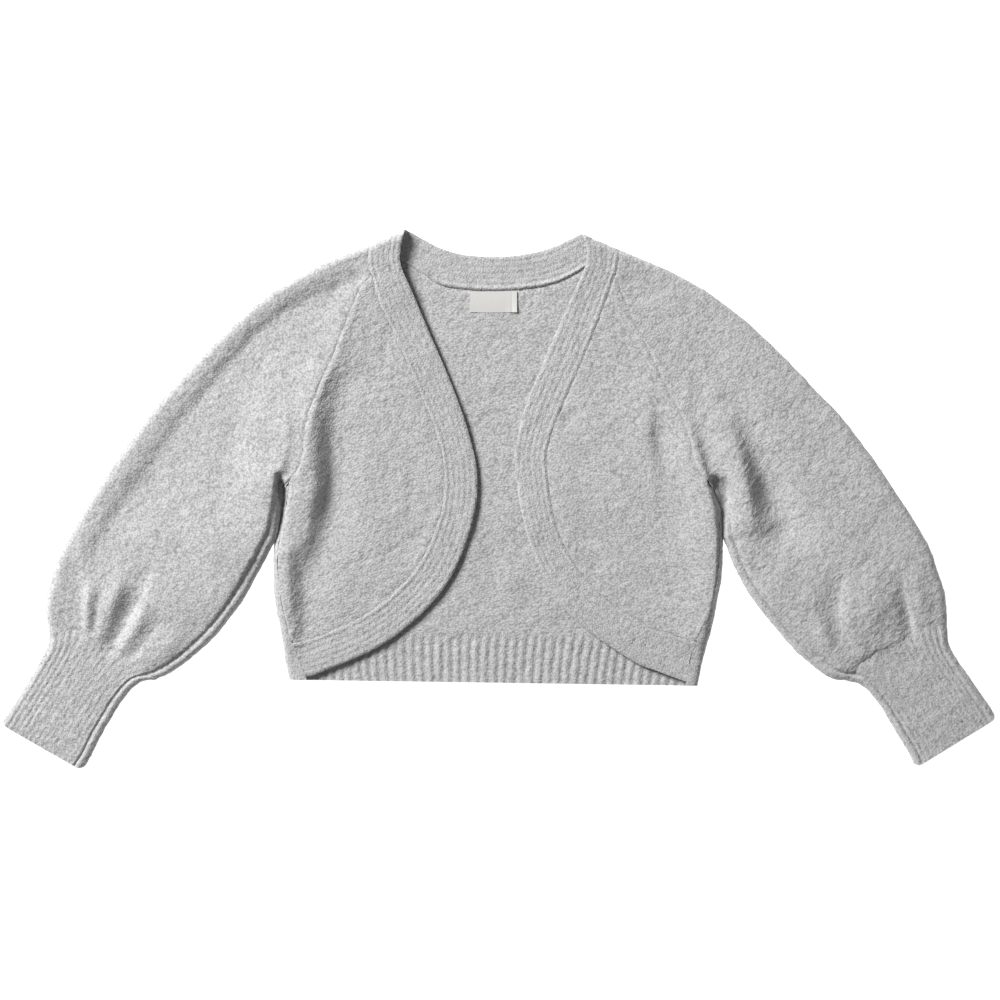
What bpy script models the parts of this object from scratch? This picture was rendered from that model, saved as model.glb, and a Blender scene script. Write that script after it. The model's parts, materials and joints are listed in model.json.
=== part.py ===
"""A cropped, open-front knitted shrug with raglan balloon sleeves, laid flat with its front up.

Every number below is in millimetres, and the meshes are in metres. +X runs to the right as the
shrug is seen from above, +Y towards the neck, +Z up. It rests on z = 0, and the origin lies under
the middle of its outline. Left and right are as seen from above, not as worn.

The cloth is one wall thickness everywhere. The back lies on the surface and curls up over the
side folds; the fronts and the front band lie on it; each sleeve and cuff is a flattened tube.
"""

import math

import bmesh
import bpy
import numpy as np

MM = 0.001

# Cloth
WALL = 2.4              # knitted cloth
SEAM_GAP = 0.3          # between two pieces along their seam
LOWEST_FOLD = 5.8       # outer height of two layers pressed together
SIDE_ROLL = 6.0         # half width of the round at the body's side folds
SLEEVE_ROLL = 7.5       # the same along a sleeve's edges
CUFF_ROLL = 5.5         # and along a cuff's edges
ROLL_SHARE = 0.29       # how far into a roll its one point between edge and flat lies
FOLD_TURNS = (-90, -55, -25, 0, 25, 55)     # degrees round the shoulder fold of the band
UNDER_CLEAR = 0.5       # how much shorter the band is under that fold

# How many sections down each sleeve the line of its raglan seams is followed, above and below,
# over how many the body's height and the spacing of the seam's points give way to the sleeve's
# own, and over how many it takes on the line of the gathered seam
UPPER_FADE, LOWER_FADE = 2.2, 4.0
SHOULDER_FADE, SPACING_FADE = 2.5, 2.0
GATHER_FADE = 2.5
CROWN_POWER = 0.8       # how full the sleeve's rounded section is
ARMPIT_OPENS, ARMPIT_FADE = -46.0, 14.0     # y from which a sleeve lies close beside the body,
ARMPIT_GAP = 0.6                            # and how close
CUFF_BEND = 1.5         # cuff sections over which the line of the gathered seam is gone
NECK_DIP_FADE = 0.55    # share of the neck's curve that each further row of the back has lost
BAND_END_GAP = 0.6      # between the band's lower end and the side seam

# Ribs, raised on the cloth that shows
BAND_RIBS = 6
CUFF_RIBS = 17
HEM_RIBS = 44
BAND_RELIEF = 0.8
CUFF_RELIEF = 0.7
HEM_RELIEF = 0.8
FOLDED_RELIEF = 0.7     # share of the band's that it has where it turns over the shoulder
BAND_EDGE_DROP = 0.5    # share of the band's by which its free edge is lower
HEM_TOP_RELIEF = 0.4    # share of the hem's that it starts with

# How finely the cloth is drawn
SEAM_STEPS = 200        # along a seam that points are read from
RAGLAN_STOPS = (0, 0.5, 1, 1.5, 2, 2.5, 3, 3.5, 4, 4.5, 5, 5.5, 6, 6.5, 7, 7.5, 8, 9, 10, 11)
FRONT_COLUMNS, FRONT_CROWDING = 14, 1.3     # steps across a front, closer beside the raglan
SLEEVE_STEP, SLEEVE_EVEN, SLEEVE_LOWER_ROWS = 0.6, 6.8, 11  # sections to the even part, and in it
CUFF_STOPS = (0.0, 0.7, 1.6, 3.0, 4.5, 6.0)
CUFF_UNDERSIDE = 4      # steps across a cuff's plain underside
BAND_INSIDE = 4         # points across the band's plain inner side
CURL_SHARES = (1.0, 0.5, 0.134, 0.0)        # of the way from a side seam out to the side fold
ROLL_SHARES = (0.29, 1.0)                   # of the way round under that fold
LABEL_COLUMNS, LABEL_ROWS = 9, 4
SHARP_ANGLE = 50.0      # degrees from which an edge is drawn sharp
NEARBY = 0.05           # share of a section over which the run of an edge is read

# Label sewn in below the back neck
LABEL_LEFT, LABEL_RIGHT = -30.0, 17.0
LABEL_TOP, LABEL_BOTTOM = 208.8, 187.8
LABEL_THICKNESS = 0.7
LABEL_LIFT = 1.6        # how far its loose right end curls up
LABEL_SEWN = 4.0        # x from which it is loose
LABEL_TOP_LIFT = 0.25   # share of the lift that its top edge has

# Body, a row for each height: the side folds, and the side seams that lie on top, inside them
BODY_COLUMNS = ("y", "left_edge", "left_seam", "right_seam", "right_edge")
BODY = (
    (14.0, -214.1, -211.4, 209.2, 211.9),
    (3.0, -215.4, -212.4, 213.0, 216.0),
    (-10.0, -217.8, -214.6, 217.8, 221.0),
    (-28.0, -221.7, -218.2, 219.6, 222.9),
    (-47.0, -225.8, -222.0, 219.6, 222.8),
    (-65.0, -226.8, -222.5, 218.8, 222.0),
    (-83.0, -227.0, -221.5, 216.6, 220.6),
    (-102.0, -225.2, -218.8, 212.6, 217.4),
    (-118.0, -222.4, -215.2, 207.6, 214.6),
    (-133.0, -219.0, -212.0, 200.0, 210.6),
    (-157.0, -215.3, -202.0, 190.0, 203.6),
    (-186.0, -209.7, -190.5, 185.2, 197.0),
)
HEM_TOP, HEM_MIDDLE = -133.0, -157.0    # the ribbed hem is knitted onto the back at its top
HEM_BOTTOM_LEFT, HEM_BOTTOM_RIGHT = -179.8, -185.8

# Front band, from the shoulder fold to the side seam: its free edge and its seam edge.
# Columns: free_x, free_y, seam_x, seam_y
BAND_LEFT = (
    (-95.0, 270.7, -131.0, 255.0),
    (-97.2, 261.5, -131.8, 247.0),
    (-99.2, 250.0, -131.6, 237.0),
    (-98.8, 234.0, -129.0, 226.0),
    (-87.5, 207.5, -119.7, 196.0),
    (-71.0, 168.5, -101.8, 156.0),
    (-50.7, 121.5, -81.0, 109.0),
    (-32.0, 69.5, -62.0, 61.0),
    (-22.4, 19.0, -55.9, 16.5),
    (-31.0, -35.0, -63.5, -25.6),
    (-59.0, -92.5, -87.5, -72.5),
    (-114.0, -142.5, -132.0, -112.5),
    (-178.0, -171.8, -188.0, -138.0),
    (-194.0, -176.8, -207.4, -143.0),
)
BAND_RIGHT = (
    (82.0, 266.2, 119.0, 250.5),
    (85.7, 257.0, 118.9, 242.5),
    (87.0, 245.0, 117.5, 235.5),
    (84.5, 232.0, 115.5, 226.5),
    (69.3, 198.0, 101.2, 187.0),
    (57.0, 169.5, 88.0, 153.0),
    (29.0, 104.0, 61.6, 91.4),
    (18.3, 67.0, 49.4, 59.0),
    (15.0, 32.0, 47.3, 28.2),
    (31.0, -47.0, 59.6, -35.0),
    (68.5, -112.5, 94.3, -88.0),
    (128.0, -158.0, 145.0, -125.0),
    (160.0, -172.3, 173.0, -135.0),
    (185.6, -181.6, 196.2, -141.4),
)
BAND_CORNER = 3         # the row at which the raglan seam meets the band

# The same band behind the neck, left to right, on the surface; its outer rows end at the folds.
# Columns: neck_x, neck_y, seam_x, seam_y
NECKBAND = (
    (-88.0, 267.5, -123.0, 250.0),
    (-76.0, 260.5, -100.0, 238.0),
    (-64.0, 254.0, -82.0, 229.0),
    (-52.0, 249.5, -64.0, 216.5),
    (-38.0, 245.8, -44.0, 211.7),
    (-23.0, 244.2, -25.0, 209.7),
    (-7.0, 243.8, -6.0, 209.2),
    (9.0, 244.0, 13.0, 209.8),
    (24.0, 245.8, 31.0, 211.7),
    (38.0, 248.5, 49.0, 215.0),
    (50.0, 252.0, 65.0, 220.5),
    (60.0, 256.0, 78.0, 227.5),
    (68.0, 260.2, 90.0, 235.0),
    (75.0, 263.5, 111.0, 246.5),
)
NECK_FIRST, NECK_LAST = 2, 12   # the rows at which the two back raglan seams meet the band

CORNER_STEP = 1.5       # how far from its upper and lower corners a front's first and last rows end
FRONT_TIP = 7.5         # how far the fronts' lower corners reach below the top of the hem

# Raglan seams on the front, from the band down to the underarm. Columns: x, y
RAGLAN_LEFT = (
    (-129.0, 226.0), (-139.5, 212.5), (-149.5, 191.0), (-159.0, 166.5),
    (-169.5, 140.0), (-181.0, 114.0), (-190.5, 89.5), (-196.0, 65.0),
    (-198.0, 43.0), (-202.5, 30.0), (-209.0, 21.5), (-214.7, 14.6),
)
RAGLAN_RIGHT = (
    (115.5, 226.5), (120.5, 211.0), (130.0, 189.0), (141.5, 163.5),
    (154.5, 138.0), (167.5, 111.5), (180.5, 86.0), (189.0, 62.0),
    (193.0, 43.0), (198.0, 31.0), (205.0, 22.0), (212.4, 14.6),
)

# Raglan seams on the back, under the fronts, from the neckband down to the underarm.
# Columns: x, y
BACK_RAGLAN_LEFT = (
    (-82.0, 229.0), (-89.0, 210.0), (-107.0, 170.0), (-150.0, 108.0), (-194.0, 46.0), (-206.0, 25.0),
)
BACK_RAGLAN_RIGHT = (
    (90.0, 235.0), (94.0, 210.0), (111.0, 170.0), (152.0, 108.0), (193.0, 46.0), (204.0, 25.0),
)

# Sleeves, a row for each section from raglan to cuff: its inner and outer ends, how far it bows
# towards the cuff, and the height of its upper layer in the middle and beside its edges.
# Columns: inner_x, inner_y, outer_x, outer_y, bow, crown, edge
SLEEVE_LEFT = (
    (-214.7, 14.6, -131.0, 255.0, 0.0, 12.0, 12.0),
    (-215.7, 5.5, -184.0, 233.0, 85.0, 13.0, 11.0),
    (-217.5, -5.0, -234.0, 203.0, 80.0, 14.0, 11.0),
    (-220.0, -17.0, -280.0, 163.0, 65.0, 15.0, 11.5),
    (-223.0, -30.0, -317.0, 124.0, 42.0, 15.5, 12.0),
    (-227.0, -43.0, -353.5, 82.0, 22.0, 16.0, 12.5),
    (-240.0, -71.0, -386.5, 36.0, 8.0, 17.0, 13.0),
    (-260.0, -104.0, -416.0, -9.0, 0.0, 18.0, 13.5),
    (-282.0, -133.0, -438.5, -51.0, 0.0, 18.0, 13.5),
    (-309.0, -158.5, -450.5, -87.0, 0.0, 16.5, 13.0),
    (-331.0, -173.5, -454.0, -110.0, 0.0, 14.2, 12.0),
    (-344.5, -179.5, -451.8, -125.0, 0.0, 12.4, 11.3),
)
SLEEVE_RIGHT = (
    (212.4, 14.6, 119.0, 250.5, 0.0, 12.0, 12.0),
    (216.4, 5.0, 171.0, 229.0, 85.0, 13.0, 11.0),
    (220.4, -6.0, 222.0, 197.5, 80.0, 14.0, 11.0),
    (222.8, -18.0, 267.0, 160.0, 65.0, 15.0, 11.5),
    (224.2, -33.0, 306.0, 121.0, 42.0, 15.5, 12.0),
    (231.5, -60.0, 341.0, 83.0, 22.0, 16.0, 12.5),
    (245.0, -88.0, 374.0, 40.0, 8.0, 17.0, 13.0),
    (266.0, -117.0, 402.0, -2.0, 0.0, 18.0, 13.5),
    (289.0, -144.5, 426.5, -43.0, 0.0, 18.0, 13.5),
    (313.0, -166.0, 441.0, -80.0, 0.0, 16.5, 13.0),
    (332.0, -177.5, 446.3, -106.0, 0.0, 14.2, 12.0),
    (348.0, -181.0, 447.0, -125.0, 0.0, 12.4, 11.3),
)

# The gathered seam between sleeve and cuff, from the inner to the outer edge. Columns: x, y
CUFF_SEAM_LEFT = (
    (-344.5, -179.5), (-354.0, -174.0), (-362.0, -171.0), (-375.0, -155.0), (-388.0, -149.0),
    (-404.0, -144.0), (-420.0, -131.0), (-436.0, -130.0), (-451.8, -125.0),
)
CUFF_SEAM_RIGHT = (
    (348.0, -181.0), (354.0, -175.0), (362.0, -162.0), (380.0, -151.0), (392.0, -148.0),
    (402.0, -142.0), (413.0, -131.0), (432.0, -126.0), (447.0, -125.0),
)

# Cuffs, a row for each section from the seam to the open end.
# Columns: inner_x, inner_y, outer_x, outer_y, height
CUFF_LEFT = (
    (-344.5, -179.5, -451.8, -125.0, 12.0),
    (-360.0, -182.5, -451.5, -143.0, 11.8),
    (-374.0, -196.0, -460.0, -161.0, 11.5),
    (-387.0, -215.5, -472.0, -181.0, 11.0),
    (-399.0, -236.0, -484.5, -201.0, 11.0),
    (-409.0, -256.0, -495.0, -216.5, 10.8),
    (-418.0, -270.5, -499.5, -224.0, 10.5),
)
CUFF_RIGHT = (
    (348.0, -181.0, 447.0, -125.0, 12.0),
    (361.0, -184.5, 449.5, -145.0, 11.8),
    (373.0, -196.5, 458.0, -160.0, 11.5),
    (384.0, -212.0, 468.0, -175.0, 11.0),
    (395.0, -230.5, 479.0, -191.0, 11.0),
    (406.0, -248.5, 489.5, -206.0, 10.8),
    (416.0, -268.0, 497.5, -218.0, 10.5),
)

# Height of the upper layer over the body, and of both sleeves beside the raglan seams; x is
# the distance from the middle
HEIGHT_COLUMNS = ("x", "y", "height")
BODY_HEIGHTS = (
    (95.0, 268.0, 18.5),
    (130.0, 252.0, 14.0),
    (97.0, 235.0, 14.5),
    (128.0, 215.0, 11.0),
    (185.0, 205.0, 12.5),
    (75.0, 175.0, 9.5),
    (110.0, 140.0, 8.8),
    (165.0, 150.0, 10.5),
    (45.0, 105.0, 8.8),
    (24.0, 30.0, 9.0),
    (62.0, 15.0, 8.2),
    (120.0, 60.0, 8.4),
    (185.0, 90.0, 11.0),
    (203.0, 45.0, 12.5),
    (160.0, 0.0, 8.6),
    (215.0, 0.0, 11.5),
    (224.0, -60.0, 10.5),
    (62.0, -75.0, 8.2),
    (120.0, -80.0, 7.6),
    (180.0, -90.0, 8.8),
    (215.0, -110.0, 9.5),
    (115.0, -145.0, 8.2),
    (165.0, -160.0, 8.0),
    (205.0, -160.0, 8.5),
)
HEIGHT_REACH = 32.0     # how far around it a row counts

# Folds of the upper layer: the line of each from top to bottom, how far it spreads to its west
# and to its east side, and what it adds to the height at each point of the line.
# Columns: line, west, east, rises
FOLDS = (
    # the ridge along the left raglan seam, down past the armpit, and the valley east of it
    (((-162.0, 148.0), (-180.0, 114.0), (-190.0, 68.0), (-189.0, 10.0), (-195.0, -30.0), (-206.0, -85.0)),
     34.0, 12.0, (0.5, 4.0, 8.5, 9.0, 5.5, 1.0)),
    (((-160.0, 112.0), (-172.0, 66.0), (-171.0, 15.0), (-184.0, -30.0), (-199.0, -75.0)),
     9.0, 17.0, (-1.0, -4.0, -4.8, -3.0, -1.0)),
    # the left armpit, and the cloth bulging over its west side
    (((-220.5, 17.0), (-221.0, 8.0), (-222.0, -12.0)), 5.5, 5.5, (-6.0, -8.0, -5.0)),
    (((-222.0, 36.0), (-229.5, 18.0), (-228.5, -10.0)), 22.0, 6.0, (1.0, 5.0, 3.4)),
    # left front
    (((-92.0, 60.0), (-88.0, 20.0), (-95.0, -30.0)), 8.0, 16.0, (-0.4, -1.0, -0.5)),
    (((-112.0, 168.0), (-118.0, 146.0)), 5.0, 6.0, (-0.6, -0.7)),
    (((-125.0, 118.0), (-106.0, 119.5)), 2.5, 2.5, (-0.8, -0.8)),
    # left sleeve: the bulge beside its inner edge, a shallow trough west of the armpit
    (((-232.0, 20.0), (-236.0, -14.0), (-252.0, -55.0), (-282.0, -108.0)), 26.0, 8.0, (2.0, 3.6, 3.0, 1.5)),
    (((-243.0, 130.0), (-262.0, 60.0), (-278.0, 0.0)), 22.0, 16.0, (-0.8, -2.4, -1.0)),
    # left sleeve: gathers above the cuff
    (((-426.0, -40.0), (-421.0, -92.0), (-419.0, -129.0)), 15.0, 4.0, (-0.5, -4.0, -5.5)),
    (((-408.0, -70.0), (-411.0, -98.0), (-413.0, -124.0)), 5.0, 6.0, (0.0, 2.2, 1.4)),
    (((-397.0, -82.0), (-402.0, -108.0), (-405.0, -130.0)), 6.0, 4.0, (0.0, -2.6, -3.2)),
    (((-375.0, -60.0), (-385.0, -100.0), (-394.0, -134.0)), 9.0, 9.0, (0.0, 3.4, 1.6)),
    (((-343.0, -50.0), (-357.0, -85.0), (-370.0, -114.0), (-385.0, -143.0)), 15.0, 6.5,
     (0.0, -3.6, -6.6, -6.0)),
    (((-350.0, -95.0), (-364.0, -122.0), (-380.0, -144.0)), 5.0, 9.0, (0.0, 2.4, 1.0)),
    (((-330.0, -106.0), (-349.0, -134.0), (-366.0, -154.0)), 9.0, 5.0, (0.0, -2.8, -3.2)),
    (((-312.0, -118.0), (-330.0, -145.0), (-352.0, -162.0)), 9.0, 9.0, (0.0, 2.6, 0.8)),
    # right front: the ridge beside its side fold, and a dent further in
    (((184.0, 92.0), (197.0, 45.0), (206.0, 5.0), (207.5, -50.0), (203.0, -100.0)), 26.0, 9.0,
     (1.0, 4.0, 5.0, 3.6, 2.0)),
    (((150.0, 102.0), (149.0, 68.0), (155.0, 30.0)), 24.0, 9.0, (0.4, 2.4, 0.6)),
    (((162.0, 90.0), (161.0, 62.0), (166.0, 36.0)), 7.0, 16.0, (-0.3, -1.4, -0.3)),
    (((80.0, -10.0), (92.0, -60.0)), 14.0, 16.0, (-0.5, -0.7)),
    # the right armpit
    (((217.0, 16.0), (221.5, 8.0), (224.0, -2.0)), 5.5, 5.5, (-5.0, -8.0, -6.0)),
    # right sleeve: the fold beside the armpit and the valley east of it
    (((221.0, 100.0), (230.0, 74.0), (237.0, 47.0), (243.0, 22.0), (249.0, -14.0), (246.0, -45.0)),
     22.0, 11.0, (0.5, 4.5, 8.0, 9.0, 7.5, 2.0)),
    (((233.0, 92.0), (244.0, 62.0), (256.0, 32.0), (268.0, 0.0), (276.0, -24.0), (268.0, -56.0)),
     12.0, 22.0, (-2.0, -4.4, -5.6, -6.8, -5.0, -1.0)),
    (((192.0, 135.0), (203.0, 112.0)), 8.0, 8.0, (-1.0, -1.2)),
    (((300.0, 40.0), (318.0, -20.0)), 30.0, 26.0, (-0.6, -0.8)),
    # right sleeve: gathers above the cuff
    (((345.0, -60.0), (336.0, -98.0), (337.0, -124.0), (349.0, -146.0)), 14.0, 8.0,
     (-0.5, -4.4, -6.2, -5.0)),
    (((372.0, -60.0), (372.0, -100.0), (376.0, -136.0)), 14.0, 16.0, (0.0, 2.6, 0.6)),
    (((318.0, -105.0), (325.0, -135.0), (340.0, -160.0)), 10.0, 8.0, (0.0, 2.4, 0.8)),
    (((398.0, -66.0), (403.0, -95.0), (409.0, -122.0), (412.0, -138.0)), 12.0, 3.8,
     (0.0, -3.0, -6.0, -5.6)),
    (((413.0, -66.0), (419.0, -98.0), (424.0, -120.0)), 5.0, 9.0, (0.0, 2.4, 0.8)),
)
FOLD_STEPS = 3          # straight steps from one point of a fold's line to the next
FOLD_SOFTNESS = 1.4     # how gently a fold comes to rest on the layer under it

# The crease along a sleeve's outer edge: how far in, how wide, and the section where it has gone
OUTER_TROUGH_IN, OUTER_TROUGH_WIDTH, OUTER_TROUGH_END = 27.0, 8.0, 8.5

SIDES = {
    "left": dict(band=BAND_LEFT, raglan=RAGLAN_LEFT, back_raglan=BACK_RAGLAN_LEFT,
                 sleeve=SLEEVE_LEFT, cuff_seam=CUFF_SEAM_LEFT, cuff=CUFF_LEFT,
                 neck_end=0, inward=1.0, outer_trough=2.4),
    "right": dict(band=BAND_RIGHT, raglan=RAGLAN_RIGHT, back_raglan=BACK_RAGLAN_RIGHT,
                  sleeve=SLEEVE_RIGHT, cuff_seam=CUFF_SEAM_RIGHT, cuff=CUFF_RIGHT,
                  neck_end=-1, inward=-1.0, outer_trough=0.6),
}

# Finish of each kind of cloth: colour and roughness
FINISHES = {
    "knit": ((0.60, 0.60, 0.59), 0.95),
    "rib_knit": ((0.58, 0.58, 0.57), 0.95),
    "label_cloth": ((0.83, 0.81, 0.79), 0.6),
}


# ---------------------------------------------------------------- curves

def column(table, names, name):
    """One named column of a table."""
    return np.array([row[names.index(name)] for row in table], float)


def smooth(rows, t):
    """Rows of numbers read at t, 0 to the last row, on a smooth curve through all of them."""
    rows = np.asarray(rows, float)
    t = np.atleast_1d(np.asarray(t, float))
    first = np.clip(t.astype(int), 0, len(rows) - 2)
    f = (t - first)[:, None]
    ends = np.vstack([2 * rows[0] - rows[1], rows, 2 * rows[-1] - rows[-2]])
    a, b, c, d = (ends[first + k] for k in range(4))
    return 0.5 * (2 * b + (c - a) * f + (2 * a - 5 * b + 4 * c - d) * f ** 2
                  + (3 * b - a - 3 * c + d) * f ** 3)


def lengths(path):
    """Distance along a path of points, at each of them."""
    steps = np.linalg.norm(np.diff(path, axis=0), axis=1)
    return np.concatenate([[0.0], np.cumsum(steps)])


def along(path, distances):
    """Points at the given distances along a path of straight steps."""
    at = lengths(path)
    return np.stack([np.interp(distances, at, path[:, k]) for k in range(path.shape[1])], axis=1)


def shift(path, distance):
    """A plan path moved sideways, to the left of its own direction, by a distance."""
    steps = np.diff(path, axis=0)
    turned = np.stack([-steps[:, 1], steps[:, 0]], axis=1)
    turned /= np.linalg.norm(turned, axis=1)[:, None]
    mitre = np.vstack([turned[:1], turned[:-1] + turned[1:], turned[-1:]])
    mitre[1:-1] *= 2.0 / (mitre[1:-1] ** 2).sum(axis=1)[:, None]
    return path + distance * mitre


def roundness(distance, radius):
    """0 at a fold's edge and 1 from radius inwards, along a quarter of an ellipse."""
    inside = np.clip(np.asarray(distance, float) / radius, 0.0, 1.0)
    return np.sqrt(1.0 - (1.0 - inside) ** 2)


def inset(distance, radius):
    """Where the inner side of a rolled wall lies, for a point of its outer side."""
    distance = np.asarray(distance, float)
    return np.where(distance < radius, WALL + distance * (radius - WALL) / radius, distance)


# ---------------------------------------------------------------- heights

def fold_relief(x, y):
    """What the folds add to the height of the upper layer at plan points."""
    relief = np.zeros_like(x)
    for line, west, east, rises in FOLDS:
        stops = np.linspace(0.0, len(line) - 1.0, FOLD_STEPS * (len(line) - 1) + 1)
        points, heights = smooth(line, stops), np.interp(stops, np.arange(len(line)), rises)
        nearest, added = np.full_like(x, np.inf), np.zeros_like(x)
        for (x0, y0), (x1, y1), low, high in zip(points, points[1:], heights, heights[1:]):
            run_x, run_y = x1 - x0, y1 - y0
            length = math.hypot(run_x, run_y)
            ahead = ((x - x0) * run_x + (y - y0) * run_y) / length
            side = ((y - y0) * run_x - (x - x0) * run_y) / length
            share = np.clip(ahead / length, 0.0, 1.0)
            past = ahead - share * length
            fade = (side / np.where(side > 0, east, west)) ** 2 + (2.0 * past / (west + east)) ** 2
            off = np.hypot(side, past)
            added = np.where(off < nearest, (low + share * (high - low)) * np.exp(-fade), added)
            nearest = np.minimum(nearest, off)
        relief += added
    return relief


def rest_on_fold(height):
    """The height, eased so that it comes no lower than two layers pressed together."""
    above = height - LOWEST_FOLD
    return LOWEST_FOLD + (above + np.sqrt(above ** 2 + FOLD_SOFTNESS ** 2)) / 2


def body_height(x, y):
    """Height of the upper layer over the body, without its folds."""
    weights = [np.exp(-((abs(x) - row_x) ** 2 + (y - row_y) ** 2) / HEIGHT_REACH ** 2) + 1e-9
               for row_x, row_y, _ in BODY_HEIGHTS]
    heights = column(BODY_HEIGHTS, HEIGHT_COLUMNS, "height")
    return sum(w * h for w, h in zip(weights, heights)) / sum(weights)


def upper_height(x, y):
    """Height of the upper layer over the body at plan points, with its folds."""
    x, y = np.asarray(x, float), np.asarray(y, float)
    return rest_on_fold(body_height(x, y) + fold_relief(x, y))


def body_line(name, y):
    """x of a side fold or a side seam at height y on the body."""
    rows = column(BODY, BODY_COLUMNS, "y")[::-1]
    return np.interp(y, rows, column(BODY, BODY_COLUMNS, name)[::-1])


# ---------------------------------------------------------------- solids

def finish(name):
    """The material of that name, made on first use."""
    material = bpy.data.materials.get(name)
    if material is None:
        colour, roughness = FINISHES[name]
        material = bpy.data.materials.new(name)
        material.use_nodes = True
        shader = material.node_tree.nodes["Principled BSDF"]
        shader.inputs["Base Color"].default_value = (*colour, 1.0)
        shader.inputs["Roughness"].default_value = roughness
    return material


def add_solid(name, points, faces, material):
    """A closed object from points in millimetres and faces, all turned to look outwards."""
    used = sorted({index for face in faces for index in face})
    new_index = {old: new for new, old in enumerate(used)}
    mesh = bpy.data.meshes.new(name)
    mesh.from_pydata([tuple(points[i] * MM) for i in used], [],
                     [[new_index[i] for i in face] for face in faces])
    work = bmesh.new()
    work.from_mesh(mesh)
    bmesh.ops.recalc_face_normals(work, faces=work.faces)
    bmesh.ops.triangulate(work, faces=work.faces)
    work.to_mesh(mesh)
    work.free()
    mesh.shade_smooth()
    mesh.set_sharp_from_angle(angle=math.radians(SHARP_ANGLE))
    mesh.materials.append(finish(material))
    bpy.context.scene.collection.objects.link(bpy.data.objects.new(name, mesh))


def grid_faces(row_count, column_count, closed=False):
    """Four-sided faces between neighbouring rows of a grid of points."""
    last = column_count if closed else column_count - 1
    return [(r * column_count + c, r * column_count + (c + 1) % column_count,
             (r + 1) * column_count + (c + 1) % column_count, (r + 1) * column_count + c)
            for r in range(row_count - 1) for c in range(last)]


def add_wall(name, outer, inner, faces, material):
    """Cloth between outer and inner points, with a rim along every open edge of the faces."""
    count = len(outer)
    edges = {(a, b) for face in faces for a, b in zip(face, face[1:] + face[:1])}
    rims = [(b, a, a + count, b + count) for a, b in edges if (b, a) not in edges]
    inside = [tuple(i + count for i in reversed(face)) for face in faces]
    add_solid(name, np.vstack([outer, inner]), faces + inside + sorted(rims), material)


def add_strip(name, sections, material):
    """A solid strip through closed sections, each a loop of the same number of points."""
    size = len(sections[0])
    faces = grid_faces(len(sections), size, closed=True)
    first = tuple(range(size))
    last = tuple(range((len(sections) - 1) * size, len(sections) * size))
    add_solid(name, np.vstack(sections), faces + [first, last], material)


# ---------------------------------------------------------------- seams that pieces share

def raglan_seam(side):
    """Points of the raglan seam on the front, from the band down to the underarm."""
    return smooth(SIDES[side]["raglan"], RAGLAN_STOPS)


def front_rows(side):
    """Ends of the front's rows, top to bottom: on the raglan and side seam, and on the band seam.

    The third array holds where on the band's table the rows end.
    """
    raglan = raglan_seam(side)
    near_corner = along(raglan, [CORNER_STEP])
    heights = column(BODY, BODY_COLUMNS, "y")
    heights = np.append(heights[heights >= HEM_TOP], HEM_TOP - FRONT_TIP)
    seam = np.stack([body_line(side + "_seam", heights), heights], axis=1)
    outer = np.vstack([near_corner, raglan[1:-1], seam])
    band = np.array(SIDES[side]["band"])
    samples = np.linspace(BAND_CORNER, len(band) - 1, SEAM_STEPS)
    path = smooth(band[:, 2:], samples)
    stops = np.linspace(CORNER_STEP, lengths(path)[-1] - CORNER_STEP, len(outer))
    return outer, along(path, stops), np.interp(stops, lengths(path), samples)


# ---------------------------------------------------------------- back

def back_section(y_left, y_right, flat_x, ribs=None):
    """Outer and inner points across the back at two heights: up over both side folds.

    flat_x holds the shares, 0 to 1, of the flat stretch between the folds' rolls, and ribs what
    is raised on its upper side there.
    """
    curled = len(CURL_SHARES)
    ends = []
    for side, y in (("left", y_left), ("right", y_right)):
        sign = SIDES[side]["inward"]
        edge = body_line(side + "_edge", y)
        over = (body_line(side + "_seam", y) - edge) * sign - SEAM_GAP / 2
        distance = np.append(over * np.array(CURL_SHARES), SIDE_ROLL * np.array(ROLL_SHARES))
        round_part = roundness(distance, SIDE_ROLL)
        round_part[curled:] *= -1.0
        half = upper_height(edge + sign * distance, y + 0 * distance) / 2
        half[curled:] = half[curled - 1]
        places = (edge + sign * distance, edge + sign * inset(distance, SIDE_ROLL))
        levels = (half * (1 + round_part), half + (half - WALL) * round_part)
        ends.append((places, levels))
    raised = 0.0 if ribs is None else ribs[1:-1]
    sheets = []
    for layer, flat_z in ((0, 0.0), (1, WALL + raised)):
        left_x, right_x = (end[0][layer] for end in ends)
        flat = left_x[-1] + (right_x[-1] - left_x[-1]) * flat_x[1:-1]
        x = np.concatenate([left_x, flat, right_x[::-1]])
        z = np.concatenate([ends[0][1][layer], flat_z + 0 * flat, ends[1][1][layer][::-1]])
        y = np.interp(x, [left_x[curled - 1], right_x[curled - 1]], [y_left, y_right])
        sheets.append(np.stack([x, y, z], axis=1))
    return sheets


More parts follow.
